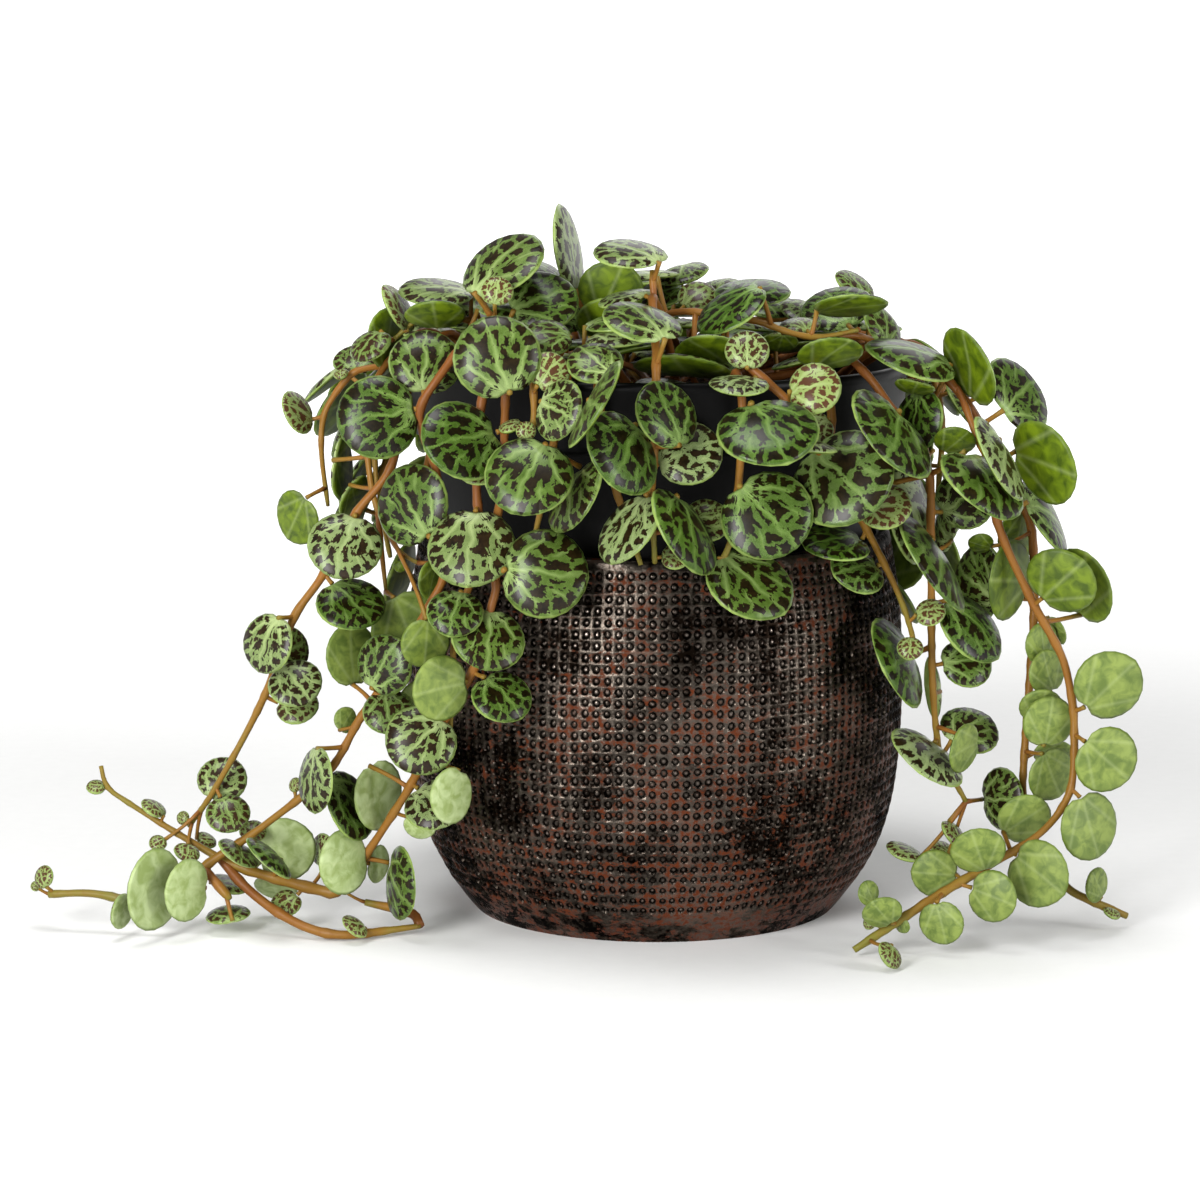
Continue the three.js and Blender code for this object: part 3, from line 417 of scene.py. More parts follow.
def pot_side(height):
    """The cachepot's outer radius at a height, on a smooth line through its outline."""
    spots = [Vector((radius, 0, z)) for radius, z in POT_OUTLINE]
    curve = smooth_path(spots, 0.4)
    return float(np.interp(height, [p.z for p in curve], [p.x for p in curve]))


dimple_rows = round((POT_OUTLINE[-1][1] - PLAIN_RIM - PLAIN_FOOT) / DIMPLE_PITCH)
dimple_heights = np.linspace(PLAIN_FOOT, POT_OUTLINE[-1][1] - PLAIN_RIM, dimple_rows + 1)
foot_heights = [0.0, 0.5, 1.4, 2.6, 4.2]
rim = POT_OUTLINE[-1]
side = [(pot_side(z), float(z)) for z in [*foot_heights, *dimple_heights, rim[1] - 0.4, rim[1]]]
lip = [
    (rim[0] - 0.25, rim[1] + 0.65), (rim[0] - 0.9, rim[1] + 1.0), (rim[0] - 2.0, rim[1] + 0.95),
    (rim[0] - 2.7, rim[1] + 0.5), (rim[0] - POT_WALL, rim[1] - 0.3),
]
inside = [(pot_side(z) - POT_WALL, z) for z in (66.0, 50.0, 34.0, 22.0, 14.0)]
well = [(38.5, POT_FLOOR + 1.6), (35.5, POT_FLOOR), (0.0, POT_FLOOR)]
pot = spun([(0.0, 0.0), (34.5, 0.0), *side, *lip, *inside, *well], DIMPLES_ROUND)
print(dimple_rows, "rows of", DIMPLES_ROUND, "dimples")

# %% Laying out the dimples
boss_glint_layer = pot.verts.layers.float.new("boss")
ring_layer = pot.verts.layers.float.new("ring")
low, high = float(dimple_heights[0]), float(dimple_heights[-1])
wall = [
    face for face in pot.faces
    if low < face.calc_center_median().z < high and math.hypot(*face.calc_center_median()[:2]) > 40
    and face.normal.dot(face.calc_center_median() * Vector((1, 1, 0))) > 0
]
for vert in dict.fromkeys(v for face in wall for v in face.verts):
    wander = noise.noise(vert.co * 0.09) * ROW_WANDER
    vert.co.z += wander if low + 1 < vert.co.z < high - 1 else 0
wall_edges = list(dict.fromkeys(edge for face in wall for edge in face.edges))
bmesh.ops.bisect_edges(pot, edges=wall_edges, cuts=1)
rng = random.Random(11)
cells = []
for face in wall:
    middle = face.calc_center_median()
    across = Vector((0, 0, 1)).cross(face.normal).normalized()
    rising = face.normal.cross(across)
    reach = [corner.co - middle for corner in face.verts]
    cells.append({
        "middle": middle + across * rng.uniform(-HAND_SLIP, HAND_SLIP)
        + rising * rng.uniform(-HAND_SLIP, HAND_SLIP),
        "out": face.normal.copy(),
        "across": across * max(arm.dot(across) for arm in reach) * rng.uniform(0.92, 1.06),
        "rising": rising * max(arm.dot(rising) for arm in reach) * rng.uniform(0.92, 1.06),
        "depth": rng.uniform(0.75, 1.2),
    })
for vert in dict.fromkeys(v for face in wall for v in face.verts):
    run = [edge.other_vert(vert).co.z - vert.co.z for edge in vert.link_edges]
    between_rows = len(run) != 2 or max(abs(rise) for rise in run) < 0.4
    outward = Vector((vert.co.x, vert.co.y, 0)).normalized()
    vert.co += outward * (RIDGE_RISE if between_rows else -0.02)


# %% Pressing the dimples
def round_off(face, cell, share, rise):
    """Sets a cell's eight corners on a round, at a share of its width and a height over the wall."""
    for corner in face.verts:
        arm = corner.co - cell["middle"]
        angle = math.atan2(arm.dot(cell["rising"].normalized()), arm.dot(cell["across"].normalized()))
        angle = round(angle / (math.pi / 4)) * (math.pi / 4)
        spread = cell["across"] * math.cos(angle) + cell["rising"] * math.sin(angle)
        corner.co = cell["middle"] + spread * share + cell["out"] * rise


bmesh.ops.inset_individual(pot, faces=wall, thickness=0.2, depth=0.0)
for face, cell in zip(wall, cells):
    round_off(face, cell, LIP_SHARE, LIP_RISE)
bmesh.ops.inset_individual(pot, faces=wall, thickness=0.1, depth=0.0)
for face, cell in zip(wall, cells):
    round_off(face, cell, RING_SHARE, -RING_DEPTH * cell["depth"])
    for corner in face.verts:
        corner[ring_layer] = 1.0
bosses = bmesh.ops.poke(pot, faces=wall)["verts"]
for vert in bosses:
    vert.co += Vector((vert.co.x, vert.co.y, 0)).normalized() * (RING_DEPTH - BOSS_DEPTH)
    vert[ring_layer] = 0.0
    # Each boss gets a random strength for its painted glint and for its gloss.
    vert[boss_glint_layer] = rng.uniform(0.35, 1.0)
print(len(bosses), "dimples,", len(pot.faces), "faces")

# %% [markdown]
# The glaze is nearly black where it is thick, and breaks to rust in small ragged patches on the ridges,
# more of them low on the pot. It is glossy enough to show the studio's lights as soft upright streaks
# of silver. The rings are painted darker, a painted shade in their hollows, and each boss is painted
# paler at a strength of its own, a painted glint, over the real gloss of its top. It could be painted
# on an image, but noise at three sizes looks as uneven from every side, and attributes find the dimples.

# %% Metallic bronze stoneware glaze
GLAZE_THICK = linear("#0E0906")
GLAZE_THIN = linear("#514A43")
GLAZE_SHINE = linear("#5C5651")
RUST = linear("#4C2311")
# Painted shade: the dark colour laid over each dimple's ring.
RING_PAINTED_SHADE = linear("#0C0806")
# Painted glint: the pale colour laid over each boss, as strong as its boss value.
BOSS_PAINTED_GLINT = linear("#5E5650")
# Patterns in a metre: clouds are about 4 mm wide, drifts 15 mm and flecks 1 mm
CLOUDS = 230.0
DRIFTS = 68.0
FLECKS = 900.0

glaze, tree, shader = new_material("bronze_stoneware_glaze")
where = add_node(tree, "TexCoord").outputs["Object"]
squat = add_node(tree, "Mapping", {"Vector": where, "Scale": (1.0, 1.0, 2.0)})
cloud = add_node(
    tree, "TexNoise",
    {"Vector": squat, "Scale": CLOUDS, "Detail": 5.0, "Roughness": 0.75, "Distortion": 0.4},
)
broad = add_node(tree, "TexNoise", {"Vector": where, "Scale": DRIFTS, "Detail": 3.0, "Roughness": 0.6})
fleck = add_node(tree, "TexNoise", {"Vector": where, "Scale": FLECKS, "Detail": 2.0, "Roughness": 0.65})
height = add_node(tree, "SeparateXYZ", {"Vector": where})
lower = add_node(tree, "MapRange", {"Value": height.outputs["Z"], 1: 0.0, 2: 60 * MM, 3: 0.055, 4: -0.015})
rusty = add_node(
    tree, "Math", {0: broad.outputs["Fac"], 1: 0.5, 2: cloud.outputs["Fac"]}, operation="MULTIPLY_ADD",
)
rusty = add_node(tree, "Math", {0: rusty, 1: lower}, operation="ADD")
rust = add_node(tree, "MapRange", {"Value": rusty, 1: 0.755, 2: 0.835, 3: 0.0, 4: 1.0})
ring = add_node(tree, "Attribute", attribute_name="ring")
boss = add_node(tree, "Attribute", attribute_name="boss")
chip = add_node(tree, "MapRange", {"Value": fleck.outputs["Fac"], 1: 0.42, 2: 0.6, 3: 1.0, 4: 0.3})
raised = add_node(tree, "MapRange", {"Value": ring.outputs["Fac"], 1: 0.0, 2: 0.6, 3: 1.0, 4: 0.15})
patched = add_node(tree, "Math", {0: rust, 1: chip}, operation="MULTIPLY")
patched = add_node(tree, "Math", {0: patched, 1: raised}, operation="MULTIPLY")
thin = add_node(
    tree, "Math", {0: fleck.outputs["Fac"], 1: 0.6, 2: broad.outputs["Fac"]}, operation="MULTIPLY_ADD",
)
mottled = add_node(tree, "MapRange", {"Value": thin, 1: 0.65, 2: 0.95})
# Painted glint: how strongly each boss is painted paler.
top = add_node(tree, "MapRange", {"Value": boss.outputs["Fac"], 1: 0.35, 2: 0.8})
bronze = layered(
    tree, GLAZE_THICK, (mottled, GLAZE_THIN), (patched, RUST), (ring.outputs["Fac"], RING_PAINTED_SHADE),
    (top, BOSS_PAINTED_GLINT),
)
dulled = add_node(tree, "MapRange", {"Value": patched, 3: 0.29, 4: 0.5})
wet = add_node(tree, "MapRange", {"Value": boss.outputs["Fac"], 3: 0.0, 4: 0.2})
gloss = add_node(tree, "Math", {0: dulled, 1: wet}, operation="SUBTRACT")
metal = add_node(tree, "MapRange", {"Value": patched, 1: 0.0, 2: 0.6, 3: 0.9, 4: 0.0})
grain = add_node(tree, "Bump", {"Height": fleck.outputs["Fac"], "Strength": 0.8, "Distance": 0.00016})
feed(
    tree, shader, Base_Color=bronze, Roughness=gloss, Metallic=metal, Normal=grain, Specular_IOR_Level=0.2,
    Specular_Tint=GLAZE_SHINE,
)
cachepot = finish_piece(pot, "dimpled_cachepot", "cachepot", [glaze])
cachepot.data.set_sharp_from_angle(angle=math.radians(45))

# %% [markdown]
# ## The nursery pot
# The nursery pot is thin black polypropylene, blown or vacuum formed, with a deeper collar to lift it
# by. It is one spun shape, with its drain holes cut by a Boolean modifier, which is the simplest
# way to cut round holes in a finished shell.

# %% The nursery pot's shape
NURSERY_TOP = 109.0
COLLAR_FOOT = NURSERY_TOP - 13.5
NURSERY_FOOT = 8.3
BODY_TOP = 45.2
BODY_FOOT = 34.0
NURSERY_RIM = 49.8
SHEET = 1.2
DRAIN_RING = 24.0
DRAIN_RADIUS = 3.0
DRAIN_COUNT = 6

body_spots = [
    (BODY_FOOT + (BODY_TOP - BODY_FOOT) * t, NURSERY_FOOT + (COLLAR_FOOT - NURSERY_FOOT) * t)
    for t in (0.015, 0.2, 0.4, 0.6, 0.8, 0.985)
]
collar = [
    (BODY_TOP + 0.3, COLLAR_FOOT - 0.1), (NURSERY_RIM - 1.5, COLLAR_FOOT),
    (NURSERY_RIM - 0.95, COLLAR_FOOT + 0.4), (NURSERY_RIM - 0.75, COLLAR_FOOT + 3),
    (NURSERY_RIM - 0.45, NURSERY_TOP - 2.6), (NURSERY_RIM - 0.1, NURSERY_TOP - 2.1),
    (NURSERY_RIM, NURSERY_TOP - 1.0), (NURSERY_RIM - 0.3, NURSERY_TOP - 0.25),
    (NURSERY_RIM - 0.9, NURSERY_TOP), (NURSERY_RIM - 1.6, NURSERY_TOP - 0.25),
    (NURSERY_RIM - 1.9, NURSERY_TOP - 1.2), (NURSERY_RIM - 2.1, COLLAR_FOOT + SHEET + 0.4),
    (NURSERY_RIM - 2.5, COLLAR_FOOT + SHEET),
]
lining = [(radius - SHEET, z + 0.4) for radius, z in reversed(body_spots)]
nursery = spun(
    [(0, NURSERY_FOOT), (BODY_FOOT - 0.6, NURSERY_FOOT), *body_spots, *collar, *lining,
     (BODY_FOOT - SHEET - 0.8, NURSERY_FOOT + SHEET), (0, NURSERY_FOOT + SHEET)],
    128,
)
print("nursery pot", len(nursery.faces), "faces")

# %% [markdown]
# The plastic is moulded with a fine orange-peel skin and has faint upright drag marks on its body. The
# collar is glossier. Black plastic is never quite black: dust and handling lift it to charcoal. Fine
# noise makes the skin, and noise drawn out along Z makes the marks, which are 1.4 mm apart.

# %% Black polypropylene
plastic, tree, shader = new_material("black_polypropylene")
where = add_node(tree, "TexCoord").outputs["Object"]
stretched = add_node(tree, "Mapping", {"Vector": where, "Scale": (1.0, 1.0, 0.06)})
drag = add_node(
    tree, "TexNoise", {"Vector": stretched, "Scale": 700.0, "Detail": 4.0, "Roughness": 0.6},
)
peel = add_node(tree, "TexNoise", {"Vector": where, "Scale": 900.0, "Detail": 2.0})
height = add_node(tree, "SeparateXYZ", {"Vector": where})
above = add_node(
    tree, "MapRange", {"Value": height.outputs["Z"], 1: (COLLAR_FOOT - 1) * MM, 2: (COLLAR_FOOT + 1) * MM},
)
dusty = add_node(tree, "MapRange", {"Value": drag.outputs["Fac"], 1: 0.35, 2: 0.75, 3: 0.0, 4: 1.0})
black = layered(tree, linear("#030303"), (dusty, linear("#080707")))
satin = add_node(tree, "MapRange", {"Value": above, 3: 0.5, 4: 0.38})
skin = add_node(tree, "Bump", {"Height": peel.outputs["Fac"], "Strength": 0.12, "Distance": 0.0001})
marks = add_node(
    tree, "Bump",
    {"Height": drag.outputs["Fac"], "Strength": 0.1, "Distance": 0.0001, "Normal": skin},
)
feed(
    tree, shader, Base_Color=black, Roughness=satin,
    Normal=marks, IOR=1.25, Specular_IOR_Level=0.3,
)
nursery_pot = finish_piece(nursery, "black_nursery_pot", "nursery_pot", [plastic])

# %% Drain holes
drill = bmesh.new()
for i in range(DRAIN_COUNT):
    angle = 2 * math.pi * i / DRAIN_COUNT
    spot = (DRAIN_RING * math.cos(angle), DRAIN_RING * math.sin(angle), NURSERY_FOOT)
    bmesh.ops.create_cone(
        drill, cap_ends=True, segments=24, radius1=DRAIN_RADIUS, radius2=DRAIN_RADIUS, depth=4 * SHEET,
        matrix=Matrix.Translation(spot),
    )
bmesh.ops.scale(drill, vec=(MM, MM, MM), verts=drill.verts)
drill_mesh = bpy.data.meshes.new("drill")
drill.to_mesh(drill_mesh)
drill.free()
drill_object = bpy.data.objects.new("drill", drill_mesh)
bpy.context.scene.collection.objects.link(drill_object)
holes = nursery_pot.modifiers.new("holes", "BOOLEAN")
holes.operation = "DIFFERENCE"
holes.object = drill_object
cut = bpy.data.meshes.new_from_object(nursery_pot.evaluated_get(bpy.context.evaluated_depsgraph_get()))
nursery_pot.modifiers.clear()
nursery_pot.data = cut
bpy.data.objects.remove(drill_object)
print("drain holes", DRAIN_COUNT, "with", len(cut.polygons), "faces left")

# %% [markdown]
# ## The potting mix
# The mix is peat and fine bark with a little perlite. Its top is a spun disc whose rings are pushed up
# and down by noise, with a few hundred low lumps of bark and white perlite set into it. Scattered
# copies would be lighter, but lumps in the one mesh are a real part of the piece.

# %% The potting mix's shape
SOIL_TOP = 103.0
SOIL_RADIUS = 47.0
LUMPS = 420
rng = random.Random(5)
rings = [(SOIL_RADIUS * i / 24, SOIL_TOP) for i in range(25)]
soil = spun(
    [(0, 10.0), (BODY_FOOT - 2.2, 10.0), (BODY_TOP - 1.8, COLLAR_FOOT + 1.6),
     (SOIL_RADIUS, COLLAR_FOOT + 1.6), *reversed(rings)],
    72,
)
for vert in soil.verts:
    if vert.co.z > SOIL_TOP - 1 and vert.co.xy.length < SOIL_RADIUS - 0.5:
        vert.co.z += 0.55 * noise.noise(vert.co * 0.35) + 0.35 * noise.noise(vert.co * 1.1) - 0.1
for i in range(LUMPS):
    bearing = rng.uniform(0, 2 * math.pi)
    reach = SOIL_RADIUS * 0.97 * math.sqrt(rng.random())
    white = i % 9 == 0
    girth = rng.uniform(0.35, 0.8) if white else rng.uniform(0.45, 1.3)
    turn = Matrix.Rotation(rng.uniform(0, math.pi), 4, "Z") @ Matrix.Rotation(rng.uniform(-0.5, 0.5), 4, "X")
    stretch = Matrix.Diagonal((rng.uniform(0.8, 1.9), 1.0, 0.6 if white else 0.35, 1.0))
    spot = Matrix.Translation((reach * math.cos(bearing), reach * math.sin(bearing), SOIL_TOP + 0.15))
    lump = bmesh.ops.create_icosphere(soil, subdivisions=1, radius=girth, matrix=spot @ turn @ stretch)
    for vert in lump["verts"]:
        vert.co += noise.noise_vector(vert.co * 1.7) * girth * 0.25
        for face in vert.link_faces:
            face.material_index = 1 if white else 2
print("potting mix", len(soil.faces), "faces")

# %% [markdown]
# Moist peat is dark, matt and crumbly. Perlite is volcanic glass puffed up to a white foam full of
# pores, and bark is red brown and splits along its fibres. Each is noise of its own grain, from half a
# millimetre to two, in both the colour and the bump.

# %% Peat, perlite and bark
peat, tree, shader = new_material("moist_peat")
where = add_node(tree, "TexCoord").outputs["Object"]
crumb = add_node(tree, "TexNoise", {"Vector": where, "Scale": 600.0, "Detail": 6.0, "Roughness": 0.7})
tone = add_node(tree, "ValToRGB", {"Fac": crumb.outputs["Fac"]})
tone.color_ramp.elements[0].position = 0.35
tone.color_ramp.elements[0].color = linear("#1C130D")
tone.color_ramp.elements[1].position = 0.7
tone.color_ramp.elements[1].color = linear("#4A3423")
rough = add_node(tree, "Bump", {"Height": crumb.outputs["Fac"], "Strength": 0.8, "Distance": 0.0004})
feed(tree, shader, Base_Color=tone.outputs["Color"], Roughness=0.92, Normal=rough)

perlite, tree, shader = new_material("perlite")
where = add_node(tree, "TexCoord").outputs["Object"]
foam = add_node(tree, "TexNoise", {"Vector": where, "Scale": 1500.0, "Detail": 3.0})
chalk = layered(tree, linear("#B9B2A4"), (foam.outputs["Fac"], linear("#E4E0D6")))
pores = add_node(tree, "Bump", {"Height": foam.outputs["Fac"], "Strength": 0.5, "Distance": 0.0002})
feed(tree, shader, Base_Color=chalk, Roughness=0.95, Normal=pores)

bark, tree, shader = new_material("bark_chips")
where = add_node(tree, "TexCoord").outputs["Object"]
fibre = add_node(tree, "TexNoise", {"Vector": where, "Scale": 900.0, "Detail": 4.0})
chip = layered(tree, linear("#2E1D12"), (fibre.outputs["Fac"], linear("#6B4A31")))
split = add_node(tree, "Bump", {"Height": fibre.outputs["Fac"], "Strength": 0.6, "Distance": 0.0003})
feed(tree, shader, Base_Color=chip, Roughness=0.85, Normal=split)
finish_piece(soil, "bark_and_peat_mix", "potting_mix", [peat, perlite, bark])

# %% [markdown]
# ## Leaves
# A mature leaf is 15 to 20 millimetres across, round with a shallow notch where its stalk joins, and
# thick enough to feel like a coin. Its upper side is gently domed. All leaves start from one spun
# blank, which is then pressed to each leaf's outline, dome and size, so that they are alike but never
# the same. A repeated shape is kept to few faces, and smooth shading does the rest.

# %% The leaf blank
LEAF_SIDES = 20
LEAF_WIDTH = 1.03
LEAF_LENGTH = 0.98
NOTCH_SPREAD = 0.26
TIP_SPREAD = 0.3
leaf_section = [(0, 0.5), (0.6, 0.44), (0.93, 0.27), (1.0, 0.0), (0.9, -0.3), (0, -0.5)]
blank = spun(leaf_section, LEAF_SIDES)
blank_mesh = bpy.data.meshes.new("leaf_blank")
for face in blank.faces:
    face.material_index = 0 if face.calc_center_median().z > 0 else 1
blank.to_mesh(blank_mesh)
blank.free()
print("leaf blank", len(blank_mesh.polygons), "faces")


def leaf_outline(angle, notch, point):
    """How far the margin reaches at an angle from the stalk, with a notch there and a soft tip."""
    from_tip = math.pi - abs(angle)
    dent = notch * math.exp(-((angle / NOTCH_SPREAD) ** 2))
    return 1.0 - dent + point * math.exp(-((from_tip / TIP_SPREAD) ** 2))


def add_leaf(bm, leaf, traits, layers):
    """Presses a copy of the blank to a leaf's outline and dome, and sets it in its place."""
    first = len(bm.verts)
    bm.from_mesh(blank_mesh)
    bm.verts.ensure_lookup_table()
    radius = leaf["radius"]
    toward = leaf["middle"] - leaf["foot"]
    forward = (toward - leaf["up"] * toward.dot(leaf["up"])).normalized()
    across = forward.cross(leaf["up"])
    turn = Matrix((across, forward, leaf["up"])).transposed()
    for vert in bm.verts[first:]:
        x, y, z = vert.co
        reach = math.hypot(x, y)
        angle = math.atan2(x, -y)
        edge = leaf_outline(angle, traits["notch"], traits["point"]) if reach > 0.02 else 1.0
        x, y = x * edge * LEAF_WIDTH, y * edge * LEAF_LENGTH
        vert[layers["place"]] = (x, y, traits["seed"])
        vert[layers["age"]] = traits["age"]
        vert[layers["olive"]] = traits["olive"]
        sag = traits["dome"] * (0.45 - reach * reach)
        wave = traits["wave"] * reach * reach * math.sin(2 * angle + traits["seed"])
        trough = -traits["fold"] * (0.35 - abs(x))
        lift = (sag + wave + trough) * radius + z * traits["thick"]
        vert.co = leaf["middle"] + turn @ Vector((x * radius, y * radius, lift))


# %% [markdown]
# A young leaf is paler and its markings are redder, and the smallest are at the tips. Undersides are a
# pale green, but those high up against the light are painted olive, a painted glow of light through
# the leaf, and the lowest on the left are painted a paler grey green, painted light. A few leaves stand
# out in the picture as younger than their size says, so they are named by where they show.

# %% What each leaf is like
YOUNG_SPOTS_PX = [
    (298, 412), (399, 308), (497, 291), (549, 372), (526, 431), (814, 388), (885, 507), (930, 612),
    (910, 648), (510, 426),
]
SPOT_REACH_PX = 16
OLIVE_ABOVE = 62.0
PAINTED_PALE_BELOW = 32.0
YOUNG_RADIUS = 5.2
BUD_RADIUS = 2.6


def leaf_traits(leaf, order):
    """The age, tint and bend of a leaf, from its size, its height and its turn."""
    chance = random.Random(order * 31 + round(leaf["radius"] * 100))
    seen = in_picture(leaf["middle"])
    young = max(0.0, min(1.0, (YOUNG_RADIUS - leaf["radius"]) / (YOUNG_RADIUS - BUD_RADIUS)))
    if any((seen - Vector(spot)).length < SPOT_REACH_PX for spot in YOUNG_SPOTS_PX):
        young = 1.0
    low = max(0.0, min(1.0, (OLIVE_ABOVE + 12 - leaf["middle"].z) / 24))
    # Painted light: the lowest leaves on the left get a paler underside.
    painted_pale = leaf["middle"].z < PAINTED_PALE_BELOW and leaf["middle"].x < 0
    return {
        "seed": chance.uniform(0, 40),
        "age": young,
        "olive": -1.0 if painted_pale else 1 - low,
        "notch": chance.uniform(0.08, 0.18),
        "point": chance.uniform(0.0, 0.05),
        "dome": chance.uniform(0.05, 0.15),
        "wave": chance.uniform(-0.04, 0.04),
        "fold": chance.uniform(-0.02, 0.06),
        "thick": 1.15 + 0.06 * leaf["radius"],
    }


leaf_count = 0
for vine in vines:
    for leaf in vine["leaves"]:
        leaf["traits"] = leaf_traits(leaf, leaf_count)
        leaf_count += 1
print(leaf_count, "leaves;", sum(leaf["traits"]["age"] > 0.5 for v in vines for leaf in v["leaves"]), "young")

# %% [markdown]
# The markings follow the leaf. Main veins fan out from the stalk, and fork further out. Large dark
# patches lie between them around the middle of the leaf, and a ring of narrower ones, all pointing
# outwards, lies inside the margin. The shader has each point's place on its leaf as an attribute, in
# leaf radii. An image could hold the pattern of one leaf, but every leaf would then wear the same one.
# Instead the shader works out how deep inside a patch a point lies, once for the large ones and once
# for the ring, and takes the larger. Streaks that run out from the stalk fray the ends of the patches.

# %% The upper side's veins
SWIRL = 0.36
STALK_FROM_MIDDLE = 0.94
HALF_BETWEEN_VEINS = 0.34
HALF_BETWEEN_FORKS = 0.17
HALF_BETWEEN_RIM_GAPS = math.pi / 15
FLATTEN = (1.0, 1.0, 0.0)

upper, tree, shader = new_material("leaf_upper_side")
place = add_node(tree, "Attribute", attribute_name="leaf_place")
swirl = add_node(tree, "TexNoise", {"Vector": place.outputs["Vector"], "Scale": 1.7, "Detail": 2.0})
bent = add_node(
    tree, "VectorMath", {0: swirl.outputs["Color"], 1: (SWIRL, SWIRL, 0.0), 2: place.outputs["Vector"]},
    operation="MULTIPLY_ADD",
)
to_stalk = (-SWIRL / 2, STALK_FROM_MIDDLE - SWIRL / 2, 0.0)
from_stalk = add_node(tree, "VectorMath", {0: bent, 1: to_stalk}, operation="ADD")
parts = add_node(tree, "SeparateXYZ", {"Vector": from_stalk})
fan = add_node(tree, "Math", {0: parts.outputs["X"], 1: parts.outputs["Y"]}, operation="ARCTAN2")
spread = add_node(tree, "VectorMath", {0: from_stalk, 1: FLATTEN}, operation="MULTIPLY")
along = add_node(tree, "VectorMath", {0: spread}, operation="LENGTH")


def distance_to_rays(tree, angle, reach, half_gap):
    """How far a point is from the nearest of the rays that leave a centre at even angles."""
    turn = add_node(tree, "Math", {0: angle, 1: half_gap}, operation="PINGPONG")
    return add_node(tree, "Math", {0: turn, 1: reach}, operation="MULTIPLY")


main_veins = distance_to_rays(tree, fan, along, HALF_BETWEEN_VEINS)
forks = distance_to_rays(tree, fan, along, HALF_BETWEEN_FORKS)
fork_fade = add_node(tree, "MapRange", {"Value": along, 1: 0.7, 2: 1.3, 3: 0.2, 4: 0.0})
late_forks = add_node(tree, "Math", {0: forks, 1: fork_fade}, operation="ADD")
vein = add_node(tree, "Math", {0: main_veins, 1: late_forks}, operation="MINIMUM")
print("veins", len(tree.nodes), "nodes")

# %% The upper side's patches
centred = add_node(tree, "VectorMath", {0: bent, 1: (-SWIRL / 2, -SWIRL / 2, 0.0)}, operation="ADD")
around = add_node(tree, "SeparateXYZ", {"Vector": centred})
bearing = add_node(tree, "Math", {0: around.outputs["X"], 1: around.outputs["Y"]}, operation="ARCTAN2")
level = add_node(tree, "VectorMath", {0: centred, 1: FLATTEN}, operation="MULTIPLY")
reach = add_node(tree, "VectorMath", {0: level}, operation="LENGTH")
seed = add_node(tree, "SeparateXYZ", {"Vector": place.outputs["Vector"]})
shift = add_node(tree, "CombineXYZ", {"X": seed.outputs["Z"], "Y": seed.outputs["Z"]})
spaced = add_node(
    tree, "VectorMath", {0: level, 1: (1.7, 1.7, 0.0), 2: shift},
    operation="MULTIPLY_ADD",
)
cells = add_node(
    tree, "TexVoronoi", {"Vector": spaced, "Scale": 1.0, "Randomness": 0.8},
    feature="DISTANCE_TO_EDGE", voronoi_dimensions="2D",
)
vein_room = add_node(tree, "MapRange", {"Value": vein, 1: 0.0, 2: 0.3, 3: -0.03, 4: 0.34})
ring_room = add_node(tree, "MapRange", {"Value": reach, 1: 0.35, 2: 0.66, 3: 0.36, 4: 0.0})
stalk_room = add_node(tree, "MapRange", {"Value": along, 1: 0.26, 2: 0.7, 3: 0.0, 4: 0.4})
large = cells
for room in (vein_room, ring_room, stalk_room):
    large = add_node(tree, "Math", {0: large, 1: room}, operation="MINIMUM")
rays = distance_to_rays(tree, bearing, reach, HALF_BETWEEN_RIM_GAPS)
inner_edge = add_node(tree, "MapRange", {"Value": reach, 1: 0.62, 2: 0.82, 3: 0.0, 4: 0.24})
outer_edge = add_node(tree, "MapRange", {"Value": reach, 1: 0.82, 2: 0.98, 3: 0.24, 4: 0.02})
wide_rays = add_node(tree, "Math", {0: rays, 1: 1.7}, operation="MULTIPLY")
small = inner_edge
for room in (outer_edge, wide_rays, stalk_room):
    small = add_node(tree, "Math", {0: small, 1: room}, operation="MINIMUM")
patches = add_node(tree, "Math", {0: large, 1: small}, operation="MAXIMUM")
streak_place = add_node(
    tree, "CombineXYZ", {"X": fan, "Y": along, "Z": seed.outputs["Z"]},
)
streaks_at = add_node(tree, "VectorMath", {0: streak_place, 1: (14.0, 3.6, 3.0)}, operation="MULTIPLY")
streaks = add_node(tree, "TexNoise", {"Vector": streaks_at, "Scale": 1.0, "Detail": 2.0, "Roughness": 0.6})
ragged = add_node(
    tree, "TexNoise", {"Vector": place.outputs["Vector"], "Scale": 6.0, "Detail": 3.0, "Roughness": 0.62},
)
fray = add_node(tree, "MapRange", {"Value": streaks.outputs["Fac"], 1: 0.3, 2: 0.7, 3: -0.06, 4: 0.095})
tear = add_node(tree, "MapRange", {"Value": ragged.outputs["Fac"], 1: 0.3, 2: 0.7, 3: -0.08, 4: 0.08})
frayed = add_node(tree, "Math", {0: patches, 1: fray}, operation="SUBTRACT")
gap = add_node(tree, "Math", {0: frayed, 1: tear}, operation="ADD")
patch = add_node(
    tree, "MapRange", {"Value": gap, 1: 0.06, 2: 0.085, 3: 0.0, 4: 1.0}, interpolation_type="SMOOTHSTEP",
)
print("patches", len(tree.nodes), "nodes so far")

# %% [markdown]
# Between the patches the leaf is a mid green, paler along the veins and palest at the stalk, with a
# fine pale line at the margin. Leaf by leaf at random, some are laid toward a pale sage, a painted
# sheen, and others are multiplied to a deeper green, partly their own tone and partly painted shade.
# The cuticle is waxy and gives a soft shine like a candle's, under a thin clear coat that mirrors the
# lights.

